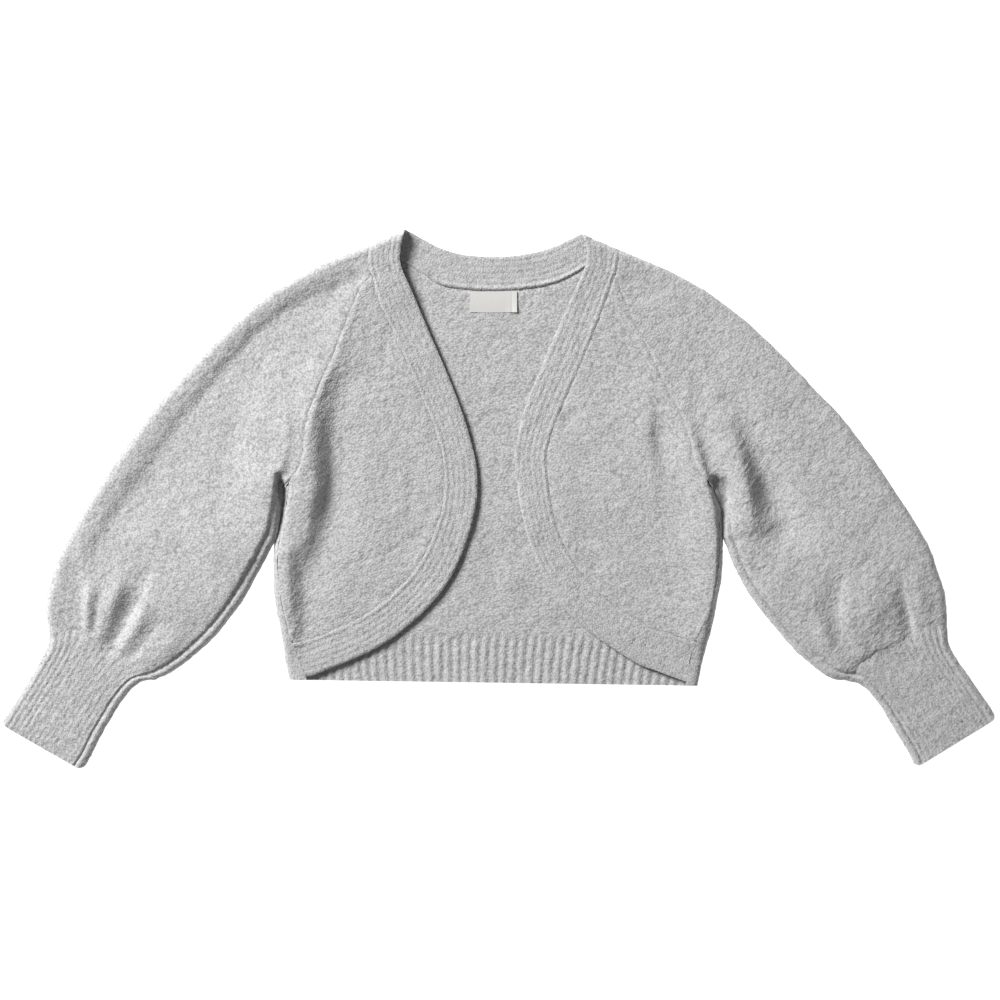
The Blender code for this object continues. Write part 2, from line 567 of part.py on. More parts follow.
def build_back_panel():
    """The raglan back: flat on the surface, curled up over the side folds below the underarm."""
    neck = shift(np.array(NECKBAND)[:, 2:], -SEAM_GAP / 2)[NECK_FIRST:NECK_LAST + 1]
    left = shift(np.array(BACK_RAGLAN_LEFT), SEAM_GAP / 2)
    right = shift(np.array(BACK_RAGLAN_RIGHT), -SEAM_GAP / 2)
    left[0] += neck[0] - np.array(NECKBAND)[NECK_FIRST, 2:]
    right[0] += neck[-1] - np.array(NECKBAND)[NECK_LAST, 2:]
    shares = np.linspace(0.0, 1.0, len(neck))[:, None]
    dip = neck - (neck[0] + shares * (neck[-1] - neck[0]))
    curl = len(CURL_SHARES) + len(ROLL_SHARES) - 1
    total = len(neck) + 2 * curl
    outer, inner = [], []
    for row, (a, b) in enumerate(zip(left, right)):
        line = a + shares * (b - a) + dip * max(0.0, 1.0 - NECK_DIP_FADE * row)
        line = np.vstack([np.repeat(line[:1], curl, axis=0), line, np.repeat(line[-1:], curl, axis=0)])
        outer.append(np.column_stack([line, np.zeros(total)]))
        inner.append(np.column_stack([line, np.full(total, WALL)]))

    # the last of these rows runs on below the sleeves, towards the underarms
    for side, first, step in (("left", curl, -1), ("right", total - 1 - curl, 1)):
        under, level = underarm_point(side)
        start = outer[-1][first].copy()
        for count in (1, 2):
            point = start + (np.append(under, level) - start) * count / 2
            outer[-1][first + step * count] = point
            inner[-1][first + step * count] = point + [0.0, 0.0, WALL]

    flat_rows = len(left)
    heights = column(BODY, BODY_COLUMNS, "y")
    heights = heights[heights >= HEM_TOP]
    heights[-1] += SEAM_GAP / 2
    for y in heights:
        section_out, section_in = back_section(y, y, shares[:, 0])
        outer.append(section_out)
        inner.append(section_in)
    faces = []
    for index, face in enumerate(grid_faces(len(outer), total)):
        row, place = divmod(index, total - 1)
        outermost = {flat_rows - 1: curl - 2}.get(row, curl if row < flat_rows else 0)
        if outermost <= place < total - 1 - outermost:
            faces.append(face)
    add_wall("back_panel", np.vstack(outer), np.vstack(inner), faces, "knit")


def build_back_hem():
    """The ribbed hem below the back, over the same side folds; ribs show on its upper side."""
    steps = 2 * HEM_RIBS
    shares = np.linspace(0.0, 1.0, steps + 1)
    ribs = HEM_RELIEF * (np.arange(steps + 1) % 2)
    top = HEM_TOP - SEAM_GAP / 2
    sections = [back_section(top, top, shares, ribs * HEM_TOP_RELIEF),
                back_section(HEM_MIDDLE, HEM_MIDDLE, shares, ribs),
                back_section(HEM_BOTTOM_LEFT, HEM_BOTTOM_RIGHT, shares, ribs)]
    outer, inner = (np.vstack([section[layer] for section in sections]) for layer in (0, 1))
    faces = grid_faces(len(sections), len(sections[0][0]))
    add_wall("back_hem_rib", outer, inner, faces, "rib_knit")


# ---------------------------------------------------------------- fronts and band

def build_front(side):
    """One front: rows from its raglan and side seam to the band seam, lying on the back."""
    sign = SIDES[side]["inward"]
    start, end, _ = front_rows(side)
    start, end = shift(start, sign * SEAM_GAP / 2), shift(end, -sign * SEAM_GAP / 2)
    shares = np.linspace(0.0, 1.0, FRONT_COLUMNS + 1)[None, :, None] ** FRONT_CROWDING
    plan = (start[:, None] + shares * (end - start)[:, None]).reshape(-1, 2)
    x, y = plan[:, 0], plan[:, 1]
    top_of_fold = column(BODY, BODY_COLUMNS, "y")[0] + SEAM_GAP
    distance = np.where(y > top_of_fold, SIDE_ROLL, (x - body_line(side + "_edge", y)) * sign)
    round_part = roundness(distance, SIDE_ROLL)
    height = upper_height(x, y)
    outer = np.column_stack([x, y, height * (1 + round_part) / 2])
    x_in = x + sign * WALL * np.clip(1.0 - (distance - SEAM_GAP) / SIDE_ROLL, 0.0, 1.0)
    inner = np.column_stack([x_in, y, height / 2 + (height / 2 - WALL) * round_part])
    add_wall("front_" + side, outer, inner, grid_faces(len(start), FRONT_COLUMNS + 1), "knit")


def rib_profile(count):
    """Heights across a ribbed strip, 0 in the grooves and 1 on the ribs, two points a rib."""
    return np.arange(2 * count + 1) % 2.0


def band_section(plan, outer_z, inner_z, ribs, inner_plan=None):
    """Closed section across the band: ribs on its outer side, a plain inner side."""
    outer = np.column_stack([plan, outer_z + ribs])
    outer[0, 2] -= BAND_EDGE_DROP * ribs.max()
    inner_plan = plan if inner_plan is None else inner_plan
    picked = np.linspace(len(plan) - 1, 0, BAND_INSIDE).astype(int)
    inner = np.column_stack([inner_plan[picked], inner_z[picked]])
    return np.vstack([outer, inner])


def across(row, shares):
    """Plan points across the band, from the free edge to the seam edge of one row."""
    return row[:2] + shares[:, None] * (row[2:] - row[:2])


def build_band(side):
    """The ribbed band of one front, from the side seam up to the shoulder and over its fold."""
    sign = SIDES[side]["inward"]
    rows = np.array(SIDES[side]["band"])
    ribs = BAND_RELIEF * rib_profile(BAND_RIBS)
    shares = np.linspace(0.0, 1.0, len(ribs))
    sections = []

    # under the shoulder and round its fold, from the neckband's end to the top of the roll
    fold, over = rows[0].copy(), rows[1].copy()
    under = np.array(NECKBAND[SIDES[side]["neck_end"]])
    for row in (fold, over, under):
        row[2:] += (row[:2] - row[2:]) * (SEAM_GAP / 2) / np.linalg.norm(row[:2] - row[2:])
    half = upper_height(*across(fold, shares).T) / 2
    for degrees in FOLD_TURNS:
        turn = math.radians(degrees)
        target = under if degrees <= 0 else over
        size = np.linalg.norm((target - fold).reshape(2, 2), axis=1).mean()
        reach = min(1.0 - math.cos(turn), 1.0 - SEAM_GAP / size)
        reach_in = (WALL + reach * (size - WALL)) / size
        line, line_in = fold + reach * (target - fold), fold + reach_in * (target - fold)
        if degrees <= 0:                # out of the sleeve's way at the fold
            for row in (line, line_in):
                row[2:] += (row[:2] - row[2:]) * UNDER_CLEAR / np.linalg.norm(row[:2] - row[2:])
        if degrees == FOLD_TURNS[0]:
            line_in = line
        shown = max(0.0, min(1.0, 0.5 + math.sin(turn)))
        sections.append(band_section(across(line, shares), half * (1 + math.sin(turn)),
                                     half + (half - WALL) * math.sin(turn),
                                     FOLDED_RELIEF * shown * ribs, across(line_in, shares)))

    # down the front, in step with the rows of the front's own mesh
    stops = front_rows(side)[2]
    table = np.vstack([rows[1:BAND_CORNER + 1], smooth(rows, stops[1:-1]), rows[-1:]])
    table[:, 2:] = shift(table[:, 2:], sign * SEAM_GAP / 2)
    for index, station in enumerate(table):
        plan = across(station, shares)
        if index == len(table) - 1:     # its end lies along the side seam
            plan[:, 0] = body_line(side + "_seam", plan[:, 1]) + sign * BAND_END_GAP
        height = upper_height(*plan.T)
        sections.append(band_section(plan, height, height - WALL, ribs))
    add_strip("band_" + side, sections, "rib_knit")


def build_neckband():
    """The same band behind the neck, flat on the surface, its ribs on the side that shows."""
    rows = np.array(NECKBAND)
    ribs = BAND_RELIEF * rib_profile(BAND_RIBS)
    rows[:, 2:] = shift(rows[:, 2:], SEAM_GAP / 2)
    for end, after in ((0, 1), (-1, -2)):
        step = (rows[after] - rows[end]).reshape(2, 2)
        rows[end] += (step / np.linalg.norm(step, axis=1)[:, None]).ravel() * SEAM_GAP / 2
    flat, shares = np.full(len(ribs), WALL), np.linspace(0.0, 1.0, len(ribs))
    sections = [band_section(across(row, shares), flat, flat - WALL, ribs) for row in rows]
    add_strip("neckband_back", sections, "rib_knit")


def build_label():
    """The bare woven label, sewn down at the left and along its top, curling up at the right."""
    x = np.linspace(LABEL_LEFT, LABEL_RIGHT, LABEL_COLUMNS)
    y = np.linspace(LABEL_TOP, LABEL_BOTTOM, LABEL_ROWS)
    grid_x, grid_y = (part.ravel() for part in np.meshgrid(x, y))
    loose = np.clip((grid_x - LABEL_SEWN) / (LABEL_RIGHT - LABEL_SEWN), 0.0, 1.0)
    low = (LABEL_TOP - grid_y) / (LABEL_TOP - LABEL_BOTTOM)
    under = WALL + SEAM_GAP + LABEL_LIFT * loose ** 2 * (LABEL_TOP_LIFT + (1 - LABEL_TOP_LIFT) * low)
    top = np.column_stack([grid_x, grid_y, under + LABEL_THICKNESS])
    bottom = np.column_stack([grid_x, grid_y, under])
    add_wall("label", top, bottom, grid_faces(LABEL_ROWS, LABEL_COLUMNS), "label_cloth")


# ---------------------------------------------------------------- sleeves and cuffs

def tube_ring(paths, height, rolls, normals):
    """Outer and inner loop of a flattened tube's section.

    The upper and the lower path run in plan from one edge to the other, height is the upper
    layer's outer height along the upper one, and normals point into the tube from both edges.
    """
    loops = []
    for inner in (False, True):
        parts = []
        for path, inwards, up in zip(paths, normals, (1.0, -1.0)):
            at = lengths(path)
            from_end = at[-1] - at
            c = np.minimum(roundness(at, rolls[0]), roundness(from_end, rolls[1]))
            level = height if up > 0 else np.where(at < from_end, height[0], height[-1])
            plan, z = path, level / 2 * (1 + up * c)
            if inner:
                moves = [np.clip(1.0 - distance / roll, 0.0, 1.0)[:, None] * WALL * normal
                         for distance, roll, normal in zip((at, from_end), rolls, inwards)]
                plan, z = path + moves[0] + moves[1], level / 2 + up * (level / 2 - WALL) * c
            parts.append(np.column_stack([plan, z]))
        loops.append(np.vstack([parts[0], parts[1][-2:0:-1]]))
    return loops


def seam_normals(path):
    """Plan directions from both ends of a path along it, into the tube."""
    steps = np.array([path[1] - path[0], path[-2] - path[-1]])
    return list(steps / np.linalg.norm(steps, axis=1)[:, None])


def edge_normals(table, t, inward):
    """Plan directions into a tube from the inner and the outer edge of its section t."""
    before, after = smooth(table, [max(t - NEARBY, 0.0), min(t + NEARBY, len(table) - 1.0)])
    normals = []
    for first, turn in ((0, -inward), (2, inward)):
        run = after[first:first + 2] - before[first:first + 2]
        normals.append(turn * np.array([-run[1], run[0]]) / np.linalg.norm(run))
    return normals


def edge_shares(length, start_roll, end_roll, inner_shares):
    """Shares along a section: two steps round each edge and the given ones between them."""
    rolls = np.array([0.0, ROLL_SHARE, 1.0])
    start = rolls * start_roll / length
    end = 1.0 - rolls[::-1] * end_roll / length
    return np.concatenate([start, inner_shares, end])


def raglan_paths(side):
    """The sleeve's first section in plan, upper and lower, from underarm to shoulder fold."""
    data = SIDES[side]
    upper = np.vstack([raglan_seam(side)[::-1], np.array(data["band"])[BAND_CORNER - 1::-1, 2:]])
    neck = np.array(NECKBAND)[:NECK_FIRST] if side == "left" else np.array(NECKBAND)[:NECK_LAST:-1]
    lower = np.vstack([upper[:1], np.array(data["back_raglan"])[::-1], neck[::-1, 2:], upper[-1:]])
    paths = []
    for path in (upper, lower):
        near_start = path[0] + ROLL_SHARE * (path[1] - path[0])
        near_end = path[-1] + ROLL_SHARE * (path[-2] - path[-1])
        paths.append(np.vstack([path[:1], near_start, path[1:-1], near_end, path[-1:]]))
    return paths


def underarm_point(side):
    """Plan point and height of the sleeve's underside beside the underarm."""
    top, under = raglan_paths(side)
    level = upper_height(top[:1, 0], top[:1, 1])[0]
    roll = np.linalg.norm(top[2] - top[0])
    rise = level / 2 * (1 - roundness(np.linalg.norm(under[1] - under[0]), roll))
    inside = shift(under[:3], -SIDES[side]["inward"] * SEAM_GAP / 2)[1]
    return inside, rise


def own_bulge(path):
    """Shares along a path and how far it lies from the straight line between its ends."""
    shares = lengths(path) / lengths(path)[-1]
    return shares, path - (path[0] + shares[:, None] * (path[-1] - path[0]))


def sleeve_paths(side, t):
    """Plan of the sleeve's section t, upper and lower, from its inner to its outer edge."""
    data = SIDES[side]
    row = smooth(data["sleeve"], t)[0]
    beside_body = body_line(side + "_edge", row[1]) - data["inward"] * ARMPIT_GAP
    closed = np.clip((row[1] - ARMPIT_OPENS) / ARMPIT_FADE, 0.0, 1.0) * min(1.0, t)
    row[0] += closed * (beside_body - row[0])
    start, chord, bow = row[0:2], row[2:4] - row[0:2], row[4]
    length = np.linalg.norm(chord)
    sideways = np.array([-chord[1], chord[0]]) / length * data["inward"]
    gather = smooth(data["cuff_seam"], np.linspace(0, len(data["cuff_seam"]) - 1, SEAM_STEPS))
    gather_at, gather_bulge = own_bulge(gather)
    gather_weight = max(0.0, 1.0 - (len(data["sleeve"]) - 1.0 - t) / GATHER_FADE) ** 2
    paths = []
    for seam, fade in zip(raglan_paths(side), (UPPER_FADE, LOWER_FADE)):
        seam_at, bulge = own_bulge(seam)
        even = np.linspace(0.0, 1.0, len(seam_at) - 4) * (1 - 2 * SLEEVE_ROLL / length)
        even = edge_shares(length, SLEEVE_ROLL, SLEEVE_ROLL, SLEEVE_ROLL / length + even[1:-1])
        settle = min(1.0, t / SPACING_FADE)
        shares = (1 - settle) * seam_at + settle * even
        path = start + shares[:, None] * chord + (bow * (np.sqrt(shares) - shares))[:, None] * sideways
        weight = max(0.0, 1.0 - t / fade) ** 2
        for k in (0, 1):
            path[:, k] += weight * np.interp(shares, seam_at, bulge[:, k])
            if not paths:
                path[:, k] += gather_weight * np.interp(shares, gather_at, gather_bulge[:, k])
        paths.append(path)
    return paths, row


def sleeve_height(side, t, row, path):
    """Height of the sleeve's upper layer along a section, with its folds and long crease."""
    at = lengths(path)
    reach = at[-1]
    crown, edge = row[5], row[6]
    own = edge + (crown - edge) * np.maximum(np.sin(math.pi * at / reach), 0.0) ** CROWN_POWER
    blend = min(1.0, t / SHOULDER_FADE)
    blend = blend * blend * (3 - 2 * blend)
    height = (1 - blend) * body_height(path[:, 0], path[:, 1]) + blend * own
    trough = SIDES[side]["outer_trough"] * np.clip(OUTER_TROUGH_END - t, 0.0, 1.0) * min(1.0, 2.0 * t)
    height -= trough * np.exp(-((reach - at - OUTER_TROUGH_IN) / OUTER_TROUGH_WIDTH) ** 2)
    return rest_on_fold(height + fold_relief(path[:, 0], path[:, 1]))


def sleeve_end(side):
    """Paths and height of the sleeve's last section, which the cuff's first one repeats."""
    t = len(SIDES[side]["sleeve"]) - 1.0
    paths, row = sleeve_paths(side, t)
    return paths, sleeve_height(side, t, row, paths[0])


def build_sleeve(side):
    """One balloon sleeve, a flattened tube from the raglan seams to the gathered cuff seam."""
    inward, table = SIDES[side]["inward"], SIDES[side]["sleeve"]
    last = len(table) - 1.0
    stops = np.concatenate([[0.0], np.arange(SLEEVE_STEP / 2, SLEEVE_EVEN, SLEEVE_STEP),
                            np.linspace(SLEEVE_EVEN, last, SLEEVE_LOWER_ROWS)])
    outer, inner = [], []
    for t in stops:
        paths, row = sleeve_paths(side, t)
        height = sleeve_height(side, t, row, paths[0])
        rolls = (SLEEVE_ROLL, SLEEVE_ROLL)
        normals = [edge_normals(table, t, inward)] * 2
        if t in (0.0, last):
            away = inward if t == 0.0 else -inward
            paths = [shift(path, away * SEAM_GAP / 2) for path in paths]
            along_seams = [seam_normals(path) for path in paths]
        if t == 0.0:
            at = lengths(paths[0])
            rolls = (at[2], at[-1] - at[-3])
            normals = [[edge[0], seam[1]] for edge, seam in zip(normals, along_seams)]
        elif t == last:
            normals = along_seams
        ring = tube_ring(paths, height, rolls, normals)
        outer.append(ring[0])
        inner.append(ring[1])
    faces = grid_faces(len(stops), len(outer[0]), closed=True)
    add_wall("sleeve_" + side, np.vstack(outer), np.vstack(inner), faces, "knit")


def build_cuff(side):
    """One ribbed cuff, a flattened tube; ribs on its upper half, its underside flat."""
    inward, table = SIDES[side]["inward"], SIDES[side]["cuff"]
    (seam_top, _), seam_height = sleeve_end(side)
    seam_at, seam_bulge = own_bulge(seam_top)
    top_between = np.linspace(0.0, 1.0, 2 * CUFF_RIBS + 1)[1:-1]
    low_between = np.linspace(0.0, 1.0, CUFF_UNDERSIDE + 1)[1:-1]
    relief = np.zeros(2 * CUFF_RIBS + 5)
    relief[2:-2] = CUFF_RELIEF * rib_profile(CUFF_RIBS)
    outer, inner = [], []
    for t in CUFF_STOPS:
        row = smooth(table, t)[0]
        start, chord = row[0:2], row[2:4] - row[0:2]
        length = np.linalg.norm(chord)
        lead = CUFF_ROLL / length
        shares, low_shares = (edge_shares(length, CUFF_ROLL, CUFF_ROLL, lead + between * (1 - 2 * lead))
                              for between in (top_between, low_between))
        if t == 0.0:                    # the same corners along the seam as the sleeve's end has
            nearest = np.abs(shares[:, None] - seam_at).argmin(axis=0)
            shares[nearest] = seam_at
        bend = max(0.0, 1.0 - t / CUFF_BEND)
        top = start + shares[:, None] * chord
        bottom = start + low_shares[:, None] * chord
        for k in (0, 1):
            top[:, k] += bend * np.interp(shares, seam_at, seam_bulge[:, k])
        height = np.full(len(shares), row[4])
        normals = [edge_normals(table, t, inward)] * 2
        if t == 0.0:
            height = np.interp(shares, seam_at, seam_height)
            top, bottom = (shift(path, inward * SEAM_GAP / 2) for path in (top, bottom))
            normals = [seam_normals(path) for path in (top, bottom)]
        ring = tube_ring((top, bottom), height, (CUFF_ROLL, CUFF_ROLL), normals)
        ring[0][:len(shares), 2] += relief * min(1.0, t)
        outer.append(ring[0])
        inner.append(ring[1])
    faces = grid_faces(len(outer), len(outer[0]), closed=True)
    add_wall("cuff_" + side, np.vstack(outer), np.vstack(inner), faces, "rib_knit")


def main():
    for thing in list(bpy.data.objects):
        bpy.data.objects.remove(thing)
    build_back_panel()
    build_back_hem()
    build_neckband()
    build_label()
    for side in SIDES:
        build_front(side)
        build_band(side)
        build_sleeve(side)
        build_cuff(side)


main()
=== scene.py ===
"""Looks of a cropped, open-front knitted shrug, laid flat: fine knitted cloth, light, floor, camera.

The tables are in millimetres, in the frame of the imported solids: +X to the right as seen from
above, +Y towards the neck, +Z up from the surface. Each piece of cloth is a fine mesh of the form
that its solid has, with its folds, ribs and seams, roughened by its own stitches.
"""

import json
import math

import bpy
import numpy as np
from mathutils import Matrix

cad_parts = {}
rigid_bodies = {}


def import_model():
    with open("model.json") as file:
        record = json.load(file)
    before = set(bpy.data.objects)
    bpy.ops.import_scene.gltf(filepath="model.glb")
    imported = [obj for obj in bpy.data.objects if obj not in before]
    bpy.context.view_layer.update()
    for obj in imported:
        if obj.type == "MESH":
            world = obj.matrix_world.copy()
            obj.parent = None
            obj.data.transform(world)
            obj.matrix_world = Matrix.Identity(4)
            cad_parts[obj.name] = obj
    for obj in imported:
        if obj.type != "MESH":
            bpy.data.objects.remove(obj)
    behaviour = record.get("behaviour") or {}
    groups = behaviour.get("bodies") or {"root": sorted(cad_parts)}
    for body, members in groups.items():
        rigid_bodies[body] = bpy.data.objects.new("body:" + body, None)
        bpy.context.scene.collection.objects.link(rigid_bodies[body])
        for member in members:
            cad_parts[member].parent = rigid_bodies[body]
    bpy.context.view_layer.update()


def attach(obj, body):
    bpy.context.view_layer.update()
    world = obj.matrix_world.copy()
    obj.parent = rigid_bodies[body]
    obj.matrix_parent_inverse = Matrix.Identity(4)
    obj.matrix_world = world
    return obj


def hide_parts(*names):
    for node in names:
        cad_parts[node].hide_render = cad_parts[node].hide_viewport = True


MM = 0.001

# Cloth
WALL = 2.4  # knitted cloth
SEAM_GAP = 0.06  # between two pieces along their seam, closer than their solids are
LOWEST_FOLD = 5.8  # outer height of two layers pressed together
SIDE_ROLL = 6  # half width of the round at the body's side folds
SLEEVE_ROLL = 7.5  # the same along a sleeve's edges
CUFF_ROLL = 5.5  # and along a cuff's edges
UNDER_CLEAR = 0.5  # how much shorter the band is under that fold

# How many sections down each sleeve the line of its raglan seams is followed
UPPER_FADE, LOWER_FADE = 2.2, 4

# Ribs, raised on the cloth that shows
BAND_RIBS = 6
CUFF_RIBS = 17
HEM_RIBS = 44

# Label sewn in below the back neck
LABEL_LEFT, LABEL_RIGHT = -30, 17
LABEL_TOP, LABEL_BOTTOM = 208.8, 187.8
LABEL_THICKNESS = 0.7
LABEL_LIFT = 1.2  # how far its loose right end curls up

# Body, a row for each height: the side folds, and the side seams that lie on top, inside them
BODY_COLUMNS = ("y", "left_edge", "left_seam", "right_seam", "right_edge")
BODY_ROWS = (
    (14, -214.1, -211.4, 209.2, 211.9), (3, -215.4, -212.4, 213, 216),
    (-10, -217.8, -214.6, 217.8, 221), (-28, -221.7, -218.2, 219.6, 222.9),
    (-47, -225.8, -222, 219.6, 222.8), (-65, -226.8, -222.5, 218.8, 222),
    (-83, -227, -221.5, 216.6, 220.6), (-102, -225.2, -218.8, 212.6, 217.4),
    (-118, -222.4, -215.2, 207.6, 214.6), (-133, -219, -212, 200, 210.6),
    (-157, -215.3, -202, 190, 203.6), (-186, -209.7, -190.5, 185.2, 197),
)
BODY = dict(zip(BODY_COLUMNS, np.array(BODY_ROWS, float).T))
HEM_TOP = -133  # the ribbed hem is knitted onto the back at its top
HEM_BOTTOM_LEFT, HEM_BOTTOM_RIGHT = -179.8, -185.8

# Front band, from the shoulder fold to the side seam: its free edge and its seam edge.
# Columns: free_x, free_y, seam_x, seam_y
BAND_LEFT = (
    (-95, 270.7, -131, 255), (-97.2, 261.5, -131.8, 247), (-99.2, 250, -131.6, 237),
    (-98.8, 234, -129, 226), (-87.5, 207.5, -119.7, 196), (-71, 168.5, -101.8, 156),
    (-50.7, 121.5, -81, 109), (-32, 69.5, -62, 61), (-22.4, 19, -55.9, 16.5),
    (-31, -35, -63.5, -25.6), (-59, -92.5, -87.5, -72.5), (-114, -142.5, -132, -112.5),
    (-178, -171.8, -188, -138), (-194, -176.8, -207.4, -143),
)
BAND_RIGHT = (
    (82, 266.2, 119, 250.5), (85.7, 257, 118.9, 242.5), (87, 245, 117.5, 235.5),
    (84.5, 232, 115.5, 226.5), (69.3, 198, 101.2, 187), (57, 169.5, 88, 153),
    (29, 104, 61.6, 91.4), (18.3, 67, 49.4, 59), (15, 32, 47.3, 28.2),
    (31, -47, 59.6, -35), (68.5, -112.5, 94.3, -88), (128, -158, 145, -125),
    (160, -172.3, 173, -135), (185.6, -181.6, 196.2, -141.4),
)
BAND_CORNER = 3  # the row at which the raglan seam meets the band

# The same band behind the neck, left to right, on the surface; its outer rows end at the folds.
# Columns: neck_x, neck_y, seam_x, seam_y
NECKBAND = (
    (-88, 267.5, -123, 250), (-76, 260.5, -100, 238), (-64, 254, -82, 229),
    (-52, 249.5, -64, 216.5), (-38, 245.8, -44, 211.7), (-23, 244.2, -25, 209.7),
    (-7, 243.8, -6, 209.2), (9, 244, 13, 209.8), (24, 245.8, 31, 211.7),
    (38, 248.5, 49, 215), (50, 252, 65, 220.5), (60, 256, 78, 227.5),
    (68, 260.2, 90, 235), (75, 263.5, 111, 246.5),
)
NECK_FIRST, NECK_LAST = 2, 12  # the rows at which the two back raglan seams meet the band

CORNER_STEP = 1.5  # how far from its upper and lower corners a front's first and last rows end
FRONT_TIP = 7.5  # how far the fronts' lower corners reach below the top of the hem

# Raglan seams on the front, from the band down to the underarm. Columns: x, y
RAGLAN_LEFT = (
    (-129, 226), (-139.5, 212.5), (-149.5, 191), (-159, 166.5), (-169.5, 140), (-181, 114),
    (-190.5, 89.5), (-196, 65), (-198, 43), (-202.5, 30), (-209, 21.5), (-214.7, 14.6),
)
RAGLAN_RIGHT = (
    (115.5, 226.5), (120.5, 211), (130, 189), (141.5, 163.5), (154.5, 138), (167.5, 111.5),
    (180.5, 86), (189, 62), (193, 43), (198, 31), (205, 22), (212.4, 14.6),
)

# Raglan seams on the back, under the fronts, from the neckband down to the underarm.
# Columns: x, y
BACK_RAGLAN_LEFT = ((-82, 229), (-89, 210), (-107, 170), (-150, 108), (-194, 46), (-206, 25))
BACK_RAGLAN_RIGHT = ((90, 235), (94, 210), (111, 170), (152, 108), (193, 46), (204, 25))

# Sleeves, a row for each section from raglan to cuff: its inner and its outer end.
# Columns: inner_x, inner_y, outer_x, outer_y
SLEEVE_LEFT = (
    (-214.7, 14.6, -131, 255), (-215.7, 5.5, -184, 233), (-217.5, -5, -234, 203),
    (-220, -17, -280, 163), (-223, -30, -317, 124), (-227, -43, -353.5, 82),
    (-240, -71, -386.5, 36), (-260, -104, -416, -9), (-282, -133, -438.5, -51),
    (-309, -158.5, -450.5, -87), (-331, -173.5, -454, -110), (-344.5, -179.5, -451.8, -125),
)
SLEEVE_RIGHT = (
    (212.4, 14.6, 119, 250.5), (216.4, 5, 171, 229), (220.4, -6, 222, 197.5),
    (222.8, -18, 267, 160), (224.2, -33, 306, 121), (231.5, -60, 341, 83),
    (245, -88, 374, 40), (266, -117, 402, -2), (289, -144.5, 426.5, -43),
    (313, -166, 441, -80), (332, -177.5, 446.3, -106), (348, -181, 447, -125),
)
# For both sleeves, how far each section bows towards the cuff, and the height of its upper layer
# in the middle and beside its edges. Columns: bow, crown, edge
SLEEVE_FORM = (
    (0, 12, 12), (85, 13, 11), (80, 14, 11), (65, 15, 11.5), (42, 15.5, 12), (22, 16, 12.5),
    (8, 17, 13), (0, 18, 13.5), (0, 18, 13.5), (0, 16.5, 13), (0, 14.2, 12), (0, 12.4, 11.3),
)

# The gathered seam between sleeve and cuff, from the inner to the outer edge. Columns: x, y
CUFF_SEAM_LEFT = (
    (-344.5, -179.5), (-354, -174), (-362, -171), (-375, -155), (-388, -149),
    (-404, -144), (-420, -131), (-436, -130), (-451.8, -125),
)
CUFF_SEAM_RIGHT = (
    (348, -181), (354, -175), (362, -162), (380, -151), (392, -148),
    (402, -142), (413, -131), (432, -126), (447, -125),
)

# Cuffs, a row for each section from the seam to the open end, and for both cuffs its height.
# Columns: inner_x, inner_y, outer_x, outer_y
CUFF_LEFT = (
    (-344.5, -179.5, -451.8, -125), (-360, -182.5, -451.5, -143), (-374, -196, -460, -161),
    (-387, -215.5, -472, -181), (-399, -236, -484.5, -201), (-409, -256, -495, -216.5),
    (-418, -270.5, -499.5, -224),
)
CUFF_RIGHT = (
    (348, -181, 447, -125), (361, -184.5, 449.5, -145), (373, -196.5, 458, -160),
    (384, -212, 468, -175), (395, -230.5, 479, -191), (406, -248.5, 489.5, -206),
    (416, -268, 497.5, -218),
)
CUFF_HEIGHTS = (12, 11.8, 11.5, 11, 11, 10.8, 10.5)

# Height of the upper layer over the body, and of both sleeves beside the raglan seams; x is
# the distance from the middle. Columns: x, y, height
BODY_HEIGHTS = (
    (95, 268, 18.5), (130, 252, 14), (97, 235, 12), (128, 215, 11), (185, 205, 12.5),
    (75, 175, 8.2), (110, 140, 8.8), (165, 150, 10.5), (45, 105, 7.6), (24, 30, 7.4),
    (62, 15, 8.2), (120, 60, 8.4), (185, 90, 11), (203, 45, 12.5), (160, 0, 8.6),
    (215, 0, 11.5), (224, -60, 10.5), (62, -75, 7.2), (120, -80, 7.6), (180, -90, 8.8),
    (215, -110, 9.5), (115, -145, 7.2), (165, -160, 7.6), (205, -160, 8.5),
)
HEIGHT_REACH = 32  # how far around it a row counts

